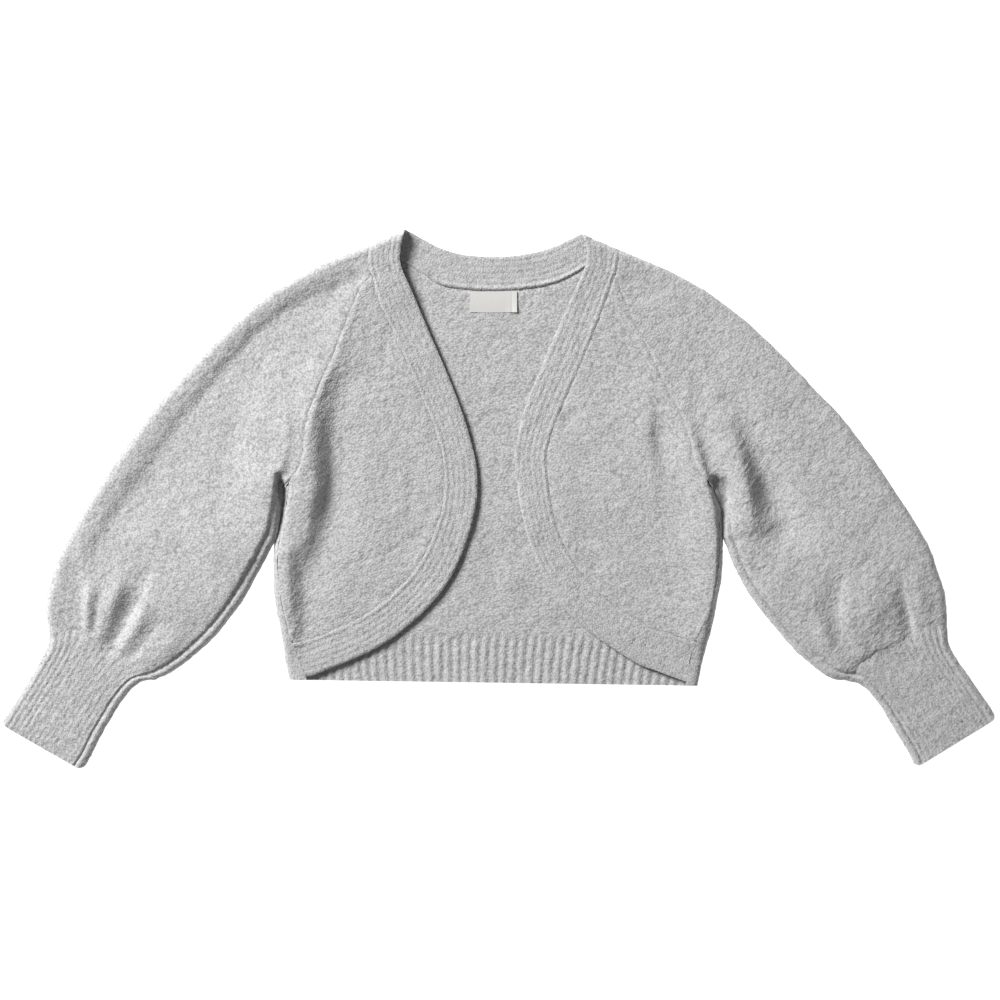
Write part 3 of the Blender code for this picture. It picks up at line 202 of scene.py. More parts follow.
# Folds of the upper layer: the line of each from top to bottom, how far it spreads to its west
# and to its east side, and what it adds to the height at each point of the line.
# Columns: line, west, east, rises
FOLDS = (
    # the ridge along the left raglan seam, down past the armpit, and the valley east of it
    (((-162, 148), (-180, 114), (-190, 68), (-189, 10), (-195, -30), (-206, -85)),
     34, 15, (1.5, 6, 9, 10, 6, 2)),
    (((-158, 112), (-168, 66), (-165, 15), (-178, -30), (-194, -75)), 10, 20, (-1, -4, -4.8, -3, -1.4)),
    (((-214, -55), (-211, -100), (-208, -140)), 14, 8, (3.4, 4.2, 2)),
    (((-197, -60), (-194, -100), (-192, -140)), 8, 18, (-1.8, -2.2, -0.9)),
    # the left armpit, and the cloth bulging over its west side
    (((-221, 23), (-220, 12), (-218.5, -3)), 2.8, 4, (-9, -30, -10)),
    (((-218, 2), (-219, -12), (-222, -34)), 2.4, 3, (-6, -7, -2)),
    (((-222, 36), (-230.5, 18), (-231, -10)), 22, 10, (1, 3.6, 2.4)),
    # left front
    (((-92, 60), (-88, 20), (-95, -30)), 8, 16, (-0.4, -1, -0.5)),
    (((-112, 168), (-118, 146)), 5, 6, (-0.6, -0.7)),
    (((-125, 118), (-106, 119.5)), 2.5, 2.5, (-0.8, -0.8)),
    # left sleeve: the bulge beside its inner edge, a shallow trough west of the armpit
    (((-219, 120), (-214, 60), (-228, 14), (-233, -20), (-251, -58), (-282, -108)),
     32, 8, (0.8, 2.4, 6, 5.6, 4.2, 1.8)),
    (((-243, 130), (-266, 60), (-284, 0)), 22, 16, (-0.8, -2.2, -1.4)),
    # left sleeve: gathers above the cuff
    (((-426, -40), (-421, -92), (-419, -129)), 20, 5, (-0.5, -2.8, -2.2)),
    (((-408, -70), (-411, -98), (-413, -124)), 5, 6, (0, 2.2, 1.4)),
    (((-397, -82), (-402, -108), (-405, -130)), 6, 4, (0, -1.8, -2.2)),
    (((-375, -60), (-385, -100), (-394, -134)), 9, 9, (0, 3.4, 1.6)),
    (((-343, -50), (-357, -85), (-370, -114), (-385, -143)), 15, 6.5, (0, -3.6, -6.6, -6)),
    (((-350, -95), (-364, -122), (-380, -144)), 5, 9, (0, 2.4, 1)),
    (((-330, -106), (-349, -134), (-366, -154)), 9, 5, (0, -1.8, -2.2)),
    (((-312, -118), (-330, -145), (-352, -162)), 9, 9, (0, 2.6, 0.8)),
    # right front: the ridge beside its side fold, and a dent further in
    (((184, 92), (198, 45), (210, 5), (215.5, -50), (211, -100), (200, -140)),
     24, 5.5, (1, 4.6, 6.4, 6.4, 5.6, 3)),
    (((147, 104), (147, 68), (152, 20)), 26, 9, (0.6, 3.2, 1)),
    (((161, 96), (159, 66), (164, 26)), 7, 18, (-0.5, -2.2, -0.6)),
    (((80, -10), (92, -60)), 14, 16, (-0.5, -0.7)),
    # the right armpit
    (((215.5, 17), (221.5, 12), (224.5, 3)), 4.2, 5, (-20, -36, -20)),
    (((221.5, 0), (223, -12), (223.5, -32)), 3.2, 3.2, (-8, -8, -3)),
    # right sleeve: the fold beside the armpit and the valley east of it
    (((221, 100), (230, 74), (237, 47), (243, 22), (249, -14), (246, -45)),
     22, 12.5, (0.5, 4.8, 8.4, 9.4, 7.8, 2)),
    (((234, 94), (246, 62), (259, 32), (273, 0), (283, -24), (276, -56)),
     14, 22, (-3.2, -6, -7.6, -8.8, -6.6, -1)),
    (((192, 135), (203, 112)), 8, 8, (-1, -1.2)),
    (((300, 40), (318, -20)), 30, 26, (-0.6, -0.8)),
    # right sleeve: gathers above the cuff
    (((345, -60), (336, -98), (337, -124), (349, -146)), 14, 8, (-0.5, -3.8, -4.8, -2.4)),
    (((372, -60), (372, -100), (376, -136)), 14, 16, (0, 2.6, 0.6)),
    (((318, -105), (325, -135), (340, -160)), 10, 8, (0, 2.4, 0.8)),
    (((398, -66), (403, -95), (409, -120), (412, -138)), 9, 3.8, (0, -2.6, -4.6, -2.2)),
    (((413, -66), (419, -98), (424, -120)), 5, 9, (0, 2.4, 0.8)),
)
FOLD_STEPS = 8  # straight steps from one point of a fold's line to the next
FOLD_REACH = 3  # times its width that a fold reaches
FOLD_SOFTNESS = 1.4  # how gently a fold comes to rest on the layer under it

# Creases along a sleeve's edges: how far in, how wide and how deep; the outer one is steep on its
# outer and gentle on its inner side
OUTER_TROUGH_IN, OUTER_TROUGH_WIDTH, OUTER_TROUGH_BACK = 35, 14, 60
SEAM_TROUGH_IN, SEAM_TROUGH_WIDTH, SEAM_TROUGH_DEPTH = 9.5, 2.4, 2.2

SIDES = {
    "left": dict(band=BAND_LEFT, raglan=RAGLAN_LEFT, back_raglan=BACK_RAGLAN_LEFT,
                 sleeve=np.column_stack([SLEEVE_LEFT, SLEEVE_FORM]), cuff_seam=CUFF_SEAM_LEFT,
                 cuff=np.column_stack([CUFF_LEFT, CUFF_HEIGHTS]), cuff_creases=((9, 1.6),),
                 neck_end=0, inward=1, outer_trough=5.2, front_rows=24, sleeve_rows=-38, cuff_rows=-30),
    "right": dict(band=BAND_RIGHT, raglan=RAGLAN_RIGHT, back_raglan=BACK_RAGLAN_RIGHT,
                  sleeve=np.column_stack([SLEEVE_RIGHT, SLEEVE_FORM]), cuff_seam=CUFF_SEAM_RIGHT,
                  cuff=np.column_stack([CUFF_RIGHT, CUFF_HEIGHTS]), cuff_creases=((9, 1.2), (-9.5, 0.8)),
                  neck_end=-1, inward=-1, outer_trough=1.4, front_rows=-24, sleeve_rows=38, cuff_rows=30),
}

# How finely each piece is drawn: points across, and sections along
DENSE = 400  # points of a curve that others are read from
ROLL_STEPS = 6  # round each rolled edge
QUARTER = 1 - np.cos(np.linspace(0, math.pi / 2, ROLL_STEPS + 1))
CURL = 2 * ROLL_STEPS  # points over one side fold of the back
EDGE_STEP = 0.05  # how far round a section its edges' directions are read
LEAST_MOVE = 0.01  # a smaller move isn't made
TINY = 1e-9  # keeps a division from failing
SLEEVE_COLUMNS, SLEEVE_ROWS = (184, 58), 300  # upper and lower half
CUFF_COLUMNS, CUFF_ROWS = (104, 24), 80
INSIDE_STEP = 6  # a tube's plain inside has one section for this many outside
FRONT_COLUMNS, FRONT_ROWS = 94, 250
BAND_COLUMNS, BAND_INSIDE, BAND_ROWS, FOLD_ROWS = 36, 10, 330, 20
NECK_ROWS = 120
BACK_COLUMNS, RAGLAN_ROWS, BACK_ROWS = 230, 115, 85
HEM_STEPS, HEM_ROWS = 6, 32
LABEL_COLUMNS, LABEL_ROWS = 60, 28

# How the forms fade into each other
GATHER_FADE = 2.5  # sleeve sections over which the gathered seam's line fades
SHOULDER_FADE = 2.5  # sleeve sections over which the body's height gives way to the sleeve's
CROWN_POWER = 0.8
CUFF_BEND, CUFF_SETTLE = 1.5, 1.2  # cuff sections that follow the gathered seam and its height
NECK_DIP_FADE = 2.75
ARMPIT_OPENS, ARMPIT_FADE = -46, 14  # y from which a sleeve is pressed against the body
ARMPIT_OVERLAP = 0.8  # and how far

# Seams and ribs
RIB_SHARPNESS = 0.8
RAGLAN_RIDGE, RAGLAN_RIDGE_IN, RAGLAN_RIDGE_WIDTH = 0.2, 3, 2.2
FRONT_RIDGE = {"left": 0.55, "right": 0.1}
FRONT_RIDGE_IN, FRONT_RIDGE_WIDTH = 5, 3.6
RIDGE_END, RIDGE_END_FADE = 20, 12  # y below which it is gone, and how fast
SEAM_LINE, BAND_LINE, CUFF_LINE = 0.5, 0.35, 0.15
SEAM_WIDTH, RAGLAN_WIDTH = 2.2, 1.7
BAND_RIDGE, NECK_RIDGE, NECK_GROOVE = 0.35, 1.5, 0.9
BAND_RIDGE_IN, BAND_RIDGE_WIDTH = 2.4, 1.9
BAND_RIB_DEPTH = 0.3
BAND_EDGE = 4.5  # how far its rolled free edge reaches
CUFF_RIB_DEPTH = {"left": 0.6, "right": 0.75}
CUFF_RIB_FAINT, CUFF_RIB_REACH, CUFF_RIB_FADE, CUFF_RIB_START = 0.3, 0.3, 1.3, 0.7
CUFF_RIB_INNER, CUFF_RIB_SPREAD = 0.7, 0.75
CUFF_CREASE_WIDTH = 1.3
CUFF_CORNER = 7
HEM_RIB_DEPTH, HEM_RIB_POWER, HEM_RIB_START, HEM_RIB_MIDDLE = 1.2, 0.8, 6, 0.7
OUTER_TROUGH_END = 8.5  # sleeve section past which the crease along its outer edge is gone

# Soft dents in the part of the back that shows, longer than wide. Columns: x, y, width, size
DENT_STRETCH = 2.5
BACK_DENTS = (
    (-8, -84, 12, -0.9), (12, -80, 14, 0.7), (-30, 40, 16, -0.4),
)

# Label
LABEL_SEWN = 4  # where its loose right part starts
LABEL_TOP_LIFT = 0.25  # share of the lift that its top edge has
LABEL_FOLD, LABEL_FOLD_WIDTH, LABEL_WAVE, LABEL_BULGE = 12, 0.9, 0.28, 0.25
LABEL_TOP_WAVE = 0.3  # share of the fold's wave that its top edge has
SHARP_ANGLE = 62  # degrees from which an edge is drawn sharp

# Stitches: how their lumps are spread, and where the cloth lies still on the surface
FIELD_CELL, FIELD_CELLS = 0.5, 1024
# Columns: size, seed, spread along a row of stitches, spread up the rows
KNIT_LUMPS = ((0.14, 11, 1.5, 1.2), (0.13, 12, 3.2, 2.6), (0.36, 13, 15, 11))
RIB_LUMPS = ((0.13, 21, 1.1, 1.4), (0.12, 22, 2.8, 3.2), (0.2, 23, 14, 16))
LARGE_LUMP, CALM_WIDTH = 0.19, 7  # lumps from this size fade within this distance of a seam
FLOOR_TOUCH, FLOOR_FREE = 0.3, 1.2
BACK_ROUGHNESS, RIB_ROUGHNESS = 0.8, 0.9
PIECE_OFFSET = 40

# Finishes
# the second colour of each knit is painted shade in the pits between its loops; the first is the yarn's own
# colour on their tops
KNIT_LIGHT, KNIT_PIT_SHADE = 0.57, 0.32
RIB_LIGHT, RIB_PIT_SHADE = 0.56, 0.32
KNIT_STRETCH = 1.35  # its loops are this much wider than high
LOOP_SCALE = 0.55  # loops to a millimetre
# loop heights over which the painted pit shade gives way to the yarn's own colour
PIT_SHADE_FROM, PIT_SHADE_TO = -0.26, 0.26
BUMP_STRENGTH, BUMP_MM = 1, 0.65
CURL_SIZE, CURL_HEIGHT, PIT_DEPTH = 2.5, 0.8, 0.7  # curls, in loops, over the pits between loops
CLOUD_SCALE, CLOUD_FROM, CLOUD_TO, CLOUD_DARK, CLOUD_LIGHT = 0.03, 0.3, 0.7, 0.96, 1.03
LABEL_DARK, LABEL_LIGHT, LABEL_GREEN, LABEL_BLUE, THREAD_MM = 0.6, 0.66, 0.975, 0.95, 0.15

# Camera, light and floor, in metres and watts
VIEW_WIDTH, VIEW_LEVEL = 1, 0.006
CAMERA_HEIGHT = 8
KEY_PLACE, KEY_SIZE, KEY_POWER = (-3.3, 2.75, 2.9), 2.2, 450
SKY_STRENGTH = 0.17
FLOOR_SIZE, FLOOR_LEVEL, FLOOR_GLOW = 12, -0.0004, 0.9
VIEW_END = 100
FLOOR_COLOUR, WHITE = (0.9, 0.9, 0.9, 1), (1, 1, 1, 1)


# ---- curves

def held(share):
    """A number, or each of many, held between 0 and 1."""
    return np.clip(share, 0.0, 1.0)


def ease(share):
    """0 to 1 with a soft start and a soft end."""
    return share * share * (3.0 - 2.0 * share)


def bell(distance, width):
    """1 at a line and falling away from it on both sides."""
    return np.exp(-(np.asarray(distance, float) / width) ** 2)


def unit(vectors):
    """The same directions with a length of 1."""
    return vectors / np.maximum(np.linalg.norm(vectors, axis=-1, keepdims=True), TINY)


def left_of(vectors):
    """Plan vectors, each turned to its left."""
    return np.stack([-vectors[..., 1], vectors[..., 0]], axis=-1)


def read_rows(wanted, at, rows):
    """Rows of numbers that stand at certain places, read at the wanted ones."""
    return np.stack([np.interp(wanted, at, values) for values in rows.T], axis=1)


def smooth(rows, t):
    """Rows of numbers read at t, 0 to the last row, on a smooth curve through all of them."""
    rows = np.asarray(rows, float)
    t = np.atleast_1d(np.asarray(t, float))
    first = np.clip(t.astype(int), 0, len(rows) - 2)
    f = (t - first)[:, None]
    ends = np.vstack([2 * rows[0] - rows[1], rows, 2 * rows[-1] - rows[-2]])
    a, b, c, d = (ends[first + k] for k in range(4))
    return 0.5 * (2 * b + (c - a) * f + (2 * a - 5 * b + 4 * c - d) * f ** 2
                  + (3 * b - a - 3 * c + d) * f ** 3)


def lengths(path):
    """Distance along a path of points, at each of them."""
    return np.concatenate([[0.0], np.cumsum(np.linalg.norm(np.diff(path, axis=0), axis=1))])


def along(path, distances):
    """Points at the given distances along a path of straight steps."""
    return read_rows(distances, lengths(path), path)


def shift(path, distance):
    """A plan path moved to the left of its own direction by a distance."""
    path = np.asarray(path, float)
    sideways = unit(left_of(np.diff(path, axis=0)))
    mitre = np.vstack([sideways[:1], sideways[:-1] + sideways[1:], sideways[-1:]])
    mitre[1:-1] *= 2.0 / (mitre[1:-1] ** 2).sum(axis=1)[:, None]
    return path + distance * mitre


def across(row, shares):
    """Plan points from the first to the second end that a row gives."""
    return row[:2] + shares[:, None] * (row[2:4] - row[:2])


def even_curve(points, count):
    """A smooth curve through points, read at even distances."""
    dense = smooth(points, np.linspace(0.0, len(points) - 1.0, DENSE))
    return along(dense, np.linspace(0.0, lengths(dense)[-1], count))


def own_bulge(path):
    """Shares along a path, and how far it lies from the straight line between its ends."""
    shares = lengths(path) / lengths(path)[-1]
    return shares, path - (path[0] + shares[:, None] * (path[-1] - path[0]))


def down_lengths(points):
    """Distance from the first row of a grid, down each of its columns."""
    steps = np.linalg.norm(np.diff(points, axis=0), axis=2)
    return np.concatenate([np.zeros((1, points.shape[1])), np.cumsum(steps, axis=0)])


# ---- heights

def fold_relief(x, y):
    """What the folds add to the height of the upper layer at plan points."""
    relief = np.zeros_like(x)
    for line, west, east, rises in FOLDS:
        stops = np.linspace(0.0, len(line) - 1.0, FOLD_STEPS * (len(line) - 1) + 1)
        past_stop = stops - np.floor(stops)
        eased = stops - past_stop + ease(past_stop)
        points, heights = smooth(line, stops), np.interp(eased, np.arange(len(line)), rises)
        reach = FOLD_REACH * max(west, east)
        low, high = points.min(axis=0) - reach, points.max(axis=0) + reach
        near = (x > low[0]) & (x < high[0]) & (y > low[1]) & (y < high[1])
        relief[near] += one_fold(x[near], y[near], points, heights, west, east)
    return relief


def one_fold(x, y, points, heights, west, east):
    """What one fold adds at plan points, read from the nearest step of its line."""
    nearest, added = np.full_like(x, np.inf), np.zeros_like(x)
    for k, ((x0, y0), (x1, y1)) in enumerate(zip(points, points[1:])):
        run_x, run_y = x1 - x0, y1 - y0
        length = math.hypot(run_x, run_y)
        ahead = ((x - x0) * run_x + (y - y0) * run_y) / length
        side = ((y - y0) * run_x - (x - x0) * run_y) / length
        share = held(ahead / length)
        past = ahead - share * length
        off = np.hypot(side, past)
        at_end = (past < 0) & (k == 0) | (past > 0) & (k == len(points) - 2)
        from_line = np.where(at_end, side, np.copysign(off, side)) / np.where(side > 0, east, west)
        fade = from_line ** 2 + at_end * (2.0 * past / (west + east)) ** 2
        rise = heights[k] + share * (heights[k + 1] - heights[k])
        added = np.where(off < nearest, rise * np.exp(-fade), added)
        nearest = np.minimum(nearest, off)
    return added


def rest_on_fold(height):
    """The height, eased so that it comes no lower than two layers pressed together."""
    above = height - LOWEST_FOLD
    return LOWEST_FOLD + (above + np.sqrt(above ** 2 + FOLD_SOFTNESS ** 2)) / 2


def body_height(x, y):
    """Height of the upper layer over the body, without its folds."""
    weights = [np.exp(-((abs(x) - row_x) ** 2 + (y - row_y) ** 2) / HEIGHT_REACH ** 2) + TINY
               for row_x, row_y, _ in BODY_HEIGHTS]
    return sum(weight * row[2] for weight, row in zip(weights, BODY_HEIGHTS)) / sum(weights)


def upper_height(x, y):
    """Height of the upper layer over the body at plan points, with its folds."""
    return rest_on_fold(body_height(x, y) + fold_relief(x, y))


def body_line(name, y):
    """x of a side fold or a side seam at height y on the body."""
    return np.interp(y, BODY["y"][::-1], BODY[name][::-1])


def roundness(distance, radius):
    """0 at a fold's edge and 1 from radius inwards, along a quarter of an ellipse."""
    return np.sqrt(1.0 - (1.0 - held(distance / radius)) ** 2)


# ---- stitches

def soft_field(seed, size_u, size_v):
    """A seamless field of soft lumps of those sizes, with a spread of 1."""
    white = np.random.default_rng(seed).standard_normal((FIELD_CELLS, FIELD_CELLS))
    rate = np.fft.fftfreq(FIELD_CELLS, FIELD_CELL)
    fade = np.exp(-2.0 * (math.pi * size_u * rate[:, None]) ** 2
                  - 2.0 * (math.pi * size_v * rate[None, :]) ** 2)
    field = np.fft.ifft2(np.fft.fft2(white) * fade).real
    return field / field.std()


def read_field(field, u, v):
    """The field at places in millimetres, straight between its cells."""
    u, v = u / FIELD_CELL, v / FIELD_CELL
    i, j = np.floor(u).astype(int), np.floor(v).astype(int)
    f, g = u - i, v - j
    i, j, after_i, after_j = (k % FIELD_CELLS for k in (i, j, i + 1, j + 1))
    low = field[i, j] * (1 - g) + field[i, after_j] * g
    high = field[after_i, j] * (1 - g) + field[after_i, after_j] * g
    return low * (1 - f) + high * f


def cloth_coords(points, degrees, piece):
    """Where points lie on their own cloth, in millimetres: along its rows of stitches, which run
    at an angle, up them, and out of it, with an offset of the piece's own."""
    turn = math.radians(degrees)
    x, y, z = np.moveaxis(points, -1, 0)
    return np.stack([x * math.cos(turn) + y * math.sin(turn), y * math.cos(turn) - x * math.sin(turn),
                     z + PIECE_OFFSET * piece], axis=2)


def roughen(points, coords, cloth, from_seam, strength=1.0, upper_columns=None, closed=False):
    """The grid with its stitches' lumps, pushed out of the cloth where it is clear of the floor;
    the large lumps fade beside a seam."""
    over = np.gradient(points, axis=1)
    if closed:
        over = (np.roll(points, -1, axis=1) - np.roll(points, 1, axis=1)) / 2
    normal = unit(np.cross(np.gradient(points, axis=0), over))
    if normal[:, :upper_columns, 2].mean() < 0:
        normal = -normal
    u, v, rise = coords[..., 0], coords[..., 1], coords[..., 2] / 2
    calm = bell(from_seam, CALM_WIDTH)
    lumps = sum(size * read_field(field, u + rise, v + rise) * (1.0 - calm * (size >= LARGE_LUMP))
                for size, field in cloth.fields)
    free = held((points[..., 2] - FLOOR_TOUCH) / FLOOR_FREE)
    return points + normal * (strength * lumps * free)[..., None]


class Cloth:
    """A kind of cloth: its material slot, its material and the fields of its stitches' lumps."""

    def __init__(self, slot, lumps, material):
        self.slot, self.material = slot, material
        self.fields = [(size, soft_field(*spread)) for size, *spread in lumps]


# ---- meshes

def add_object(name, data):
    """A new object of the scene."""
    thing = bpy.data.objects.new(name, data)
    bpy.context.scene.collection.objects.link(thing)
    return thing


def make_piece(name, points, coords, faces, cloth):
    """A piece of cloth that rides with the shrug and stands for the solid of the same name."""
    mesh = bpy.data.meshes.new(name)
    mesh.from_pydata((points * MM).tolist(), [], faces)
    places = mesh.attributes.new("cloth", "FLOAT_VECTOR", "POINT")
    places.data.foreach_set("vector", coords.astype(np.float32).ravel())
    mesh.shade_smooth()
    mesh.set_sharp_from_angle(angle=math.radians(SHARP_ANGLE))
    mesh.materials.append(cloth.material)
    piece = add_object(name + "_cloth", mesh)
    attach(piece, "root")
    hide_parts(name)
    return piece


def grid_faces(first, row_count, column_count, closed=False):
    """Four-sided faces between neighbouring rows of a grid whose points start at first."""
    rows = np.arange(row_count - 1)[:, None] * column_count + first
    start = np.arange(column_count if closed else column_count - 1)[None, :]
    after = (start + 1) % column_count
    corners = [rows + start, rows + after, rows + after + column_count, rows + start + column_count]
    return np.stack(corners, axis=2).reshape(-1, 4)


def rim_faces(outside, inside):
    """Faces along a rim, between matching points of its outer and its inner edge."""
    return np.stack([outside[:-1], outside[1:], inside[1:], inside[:-1]], axis=1)


def add_sheet(name, outer, inner, coords, cloth, shown=slice(None)):
    """An open sheet of cloth between two grids of points, made of those faces that are shown."""
    rows, columns = outer.shape[:2]
    count = rows * columns
    faces = grid_faces(0, rows, columns)[shown]
    edges = np.stack([faces, np.roll(faces, -1, axis=1)], axis=2).reshape(-1, 2)
    keys, back_keys = edges[:, 0] * count + edges[:, 1], edges[:, 1] * count + edges[:, 0]
    rim = edges[~np.isin(keys, back_keys)]
    rims = np.stack([rim[:, 1], rim[:, 0], rim[:, 0] + count, rim[:, 1] + count], axis=1)
    faces = np.vstack([faces, faces[:, ::-1] + count, rims])
    used, faces = np.unique(faces, return_inverse=True)
    points = np.vstack([outer.reshape(-1, 3), inner.reshape(-1, 3)])[used]
    coords = np.vstack([coords.reshape(-1, 3)] * 2)[used]
    return make_piece(name, points, coords, faces.reshape(-1, 4).tolist(), cloth)


def add_tube(name, outer, inner, coords, cloth):
    """A tube of cloth; its plain inside keeps only every few of the sections."""
    rows, columns = outer.shape[:2]
    kept = np.unique(np.append(np.arange(0, rows, INSIDE_STEP), rows - 1))
    count = rows * columns
    ring = np.append(np.arange(columns), 0)
    last, last_inside = (rows - 1) * columns, count + (len(kept) - 1) * columns
    faces = np.vstack([grid_faces(0, rows, columns, closed=True),
                       grid_faces(count, len(kept), columns, closed=True)[:, ::-1],
                       rim_faces(ring, ring + count)[:, ::-1],
                       rim_faces(ring + last, ring + last_inside)])
    points, all_coords = (np.vstack([a.reshape(-1, 3), b[kept].reshape(-1, 3)])
                          for a, b in ((outer, inner), (coords, coords)))
    return make_piece(name, points, all_coords, faces.tolist(), cloth)


def add_strip(name, loops, coords, cloth):
    """A solid strip through closed sections, with its ends capped."""
    rows, columns = loops.shape[:2]
    faces = grid_faces(0, rows, columns, closed=True).tolist()
    faces.append(list(range(columns))[::-1])
    faces.append(list(range((rows - 1) * columns, rows * columns)))
    return make_piece(name, loops.reshape(-1, 3), coords.reshape(-1, 3), faces, cloth)


# ---- tubes

def shares_with_rolls(length, roll, count):
    """Shares along a section, close together round both rolled edges and even between them."""
    start = QUARTER * roll / length
    end = 1.0 - start[::-1]
    return np.concatenate([start, np.linspace(start[-1], end[0], count)[1:-1], end])


def tube_ring(paths, height, roll, normals):
    """Outer and inner loop of a flattened tube's section, its upper half first."""
    outer, inner = [], []
    for path, up in zip(paths, (1.0, -1.0)):
        at = lengths(path)
        from_end = at[-1] - at
        round_part = roundness(np.minimum(at, from_end), roll)
        half = (height if up > 0 else np.where(at < from_end, height[0], height[-1])) / 2
        moves = [held(1.0 - distance / roll)[:, None] * WALL * normal
                 for distance, normal in zip((at, from_end), normals)]
        outer.append(np.column_stack([path, half * (1 + up * round_part)]))
        inner.append(np.column_stack([path + moves[0] + moves[1], half + up * (half - WALL) * round_part]))
    return [np.vstack([upper, lower[-2:0:-1]]) for upper, lower in (outer, inner)]


def edge_normals(table, t, inward):
    """Plan directions into a tube from the inner and the outer edge of its section t."""
    before, after = smooth(table, [max(t - EDGE_STEP, 0.0), min(t + EDGE_STEP, len(table) - 1.0)])
    first, last = unit(left_of((after - before)[:4].reshape(2, 2)))
    return -inward * first, inward * last


# ---- sleeves and cuffs

def sleeve_seams(side):
    """Bulges of a sleeve's seams: the upper and the lower half of its first section, from the
    underarm to the shoulder fold, and the gathered one at its end."""
    data = SIDES[side]
    upper = np.vstack([data["raglan"][::-1], np.array(data["band"])[BAND_CORNER - 1::-1, 2:]])
    neck = np.array(NECKBAND)[:NECK_FIRST] if side == "left" else np.array(NECKBAND)[:NECK_LAST:-1]
    lower = np.vstack([upper[:1], data["back_raglan"][::-1], neck[::-1, 2:], upper[-1:]])
    return [own_bulge(even_curve(path, DENSE)) for path in (upper, lower, data["cuff_seam"])]


def sleeve_paths(side, t, seams):
    """Plan of the sleeve's section t, upper and lower, from its inner to its outer edge."""
    data = SIDES[side]
    row = smooth(data["sleeve"], t)[0]
    beside_body = body_line(side + "_edge", row[1]) + data["inward"] * ARMPIT_OVERLAP
    row[0] += held((row[1] - ARMPIT_OPENS) / ARMPIT_FADE) * min(1.0, t) * (beside_body - row[0])
    chord, bow = row[2:4] - row[:2], row[4]
    sideways = unit(left_of(chord)) * data["inward"]
    gathered = max(0.0, 1.0 - (len(data["sleeve"]) - 1.0 - t) / GATHER_FADE) ** 2
    paths = []
    for seam, fade, count in zip(seams, (UPPER_FADE, LOWER_FADE), SLEEVE_COLUMNS):
        shares = shares_with_rolls(np.linalg.norm(chord), SLEEVE_ROLL, count)
        path = across(row, shares) + (bow * (np.sqrt(shares) - shares))[:, None] * sideways
        path += max(0.0, 1.0 - t / fade) ** 2 * read_rows(shares, *seam)
        if not paths:
            path += gathered * read_rows(shares, *seams[2])
        paths.append(path)
    return paths, row


def sleeve_base(side, t, row, path):
    """Height of the sleeve's upper layer along a section, with its long creases but no folds."""
    at = lengths(path)
    reach = at[-1]
    crown, edge = row[5], row[6]
    arch = np.maximum(np.sin(math.pi * at / reach), 0.0)
    own = edge + (crown - edge) * arch ** CROWN_POWER
    blend = ease(min(1.0, t / SHOULDER_FADE))
    height = (1 - blend) * body_height(path[:, 0], path[:, 1]) + blend * own
    trough = SIDES[side]["outer_trough"] * held(OUTER_TROUGH_END - t) * min(1.0, 2.0 * t)
    past = reach - at - OUTER_TROUGH_IN
    height -= trough * bell(past, np.where(past > 0, OUTER_TROUGH_BACK, OUTER_TROUGH_WIDTH))
    return height - blend * SEAM_TROUGH_DEPTH * bell(at - SEAM_TROUGH_IN, SEAM_TROUGH_WIDTH)


def make_sleeve(side, piece, cloth):
    """One balloon sleeve, from the raglan seams to the gathered cuff seam."""
    data = SIDES[side]
    table, seams = data["sleeve"], sleeve_seams(side)
    stops = np.linspace(0.0, len(table) - 1.0, SLEEVE_ROWS)
    plans = [sleeve_paths(side, t, seams) for t in stops]
    heights = np.array([sleeve_base(side, t, row, paths[0]) for t, (paths, row) in zip(stops, plans)])
    x, y = np.moveaxis(np.array([paths[0] for paths, _ in plans]), -1, 0)
    heights = rest_on_fold(heights + fold_relief(x, y))
    rings = [tube_ring(paths, height, SLEEVE_ROLL, edge_normals(table, t, data["inward"]))
             for t, (paths, _), height in zip(stops, plans, heights)]
    outer, inner = (np.array(loops) for loops in zip(*rings))
    coords = cloth_coords(outer, data["sleeve_rows"], piece)
    from_raglan = down_lengths(outer)
    from_cuff = from_raglan[-1] - from_raglan
    upper = np.arange(outer.shape[1]) < SLEEVE_COLUMNS[0] + 2 * ROLL_STEPS
    seam = RAGLAN_RIDGE * bell(from_raglan - RAGLAN_RIDGE_IN, RAGLAN_RIDGE_WIDTH)
    seam -= SEAM_LINE * bell(from_raglan, RAGLAN_WIDTH) + CUFF_LINE * bell(from_cuff, SEAM_WIDTH)
    outer[..., 2] += seam * upper
    outer = roughen(outer, coords, cloth, np.minimum(from_raglan, from_cuff),
                    upper_columns=SLEEVE_COLUMNS[0], closed=True)
    return add_tube("sleeve_" + side, outer, inner, coords, cloth)


def cuff_ribs(side, share, along_cuff):
    """Relief of a cuff's ribs: clear below the gathers and along its edges, faint between."""
    inner_edge = CUFF_RIB_INNER * bell(share, CUFF_RIB_REACH / 2)
    near_edge = np.maximum(bell(share - 1.0, CUFF_RIB_REACH), inner_edge)
    below_gathers = math.exp(-along_cuff / CUFF_RIB_FADE) * bell(share - 1.0, CUFF_RIB_SPREAD)
    clear = np.maximum(near_edge, below_gathers)
    wave = rib_wave(CUFF_RIBS * share) - 0.5
    return CUFF_RIB_DEPTH[side] * (CUFF_RIB_FAINT + (1.0 - CUFF_RIB_FAINT) * clear) * wave


def round_corners(grid, share, radius):
    """A tube's grid with its open end drawn back at both edges, round the corners."""
    from_start = down_lengths(grid)
    width = np.linalg.norm(grid[-1, share.argmax()] - grid[-1, share.argmin()])
    past = np.maximum(radius - np.minimum(share, 1.0 - share) * width, 0.0)
    back = radius - np.sqrt(np.maximum(radius ** 2 - past ** 2, 0.0))
    rows = np.arange(len(grid), dtype=float)
    rounded = grid.copy()
    for column in np.flatnonzero(back > LEAST_MOVE):
        end = np.interp(from_start[-1, column] - back[column], from_start[:, column], rows)
        rounded[:, column] = read_rows(rows * end / rows[-1], rows, grid[:, column])
    return rounded


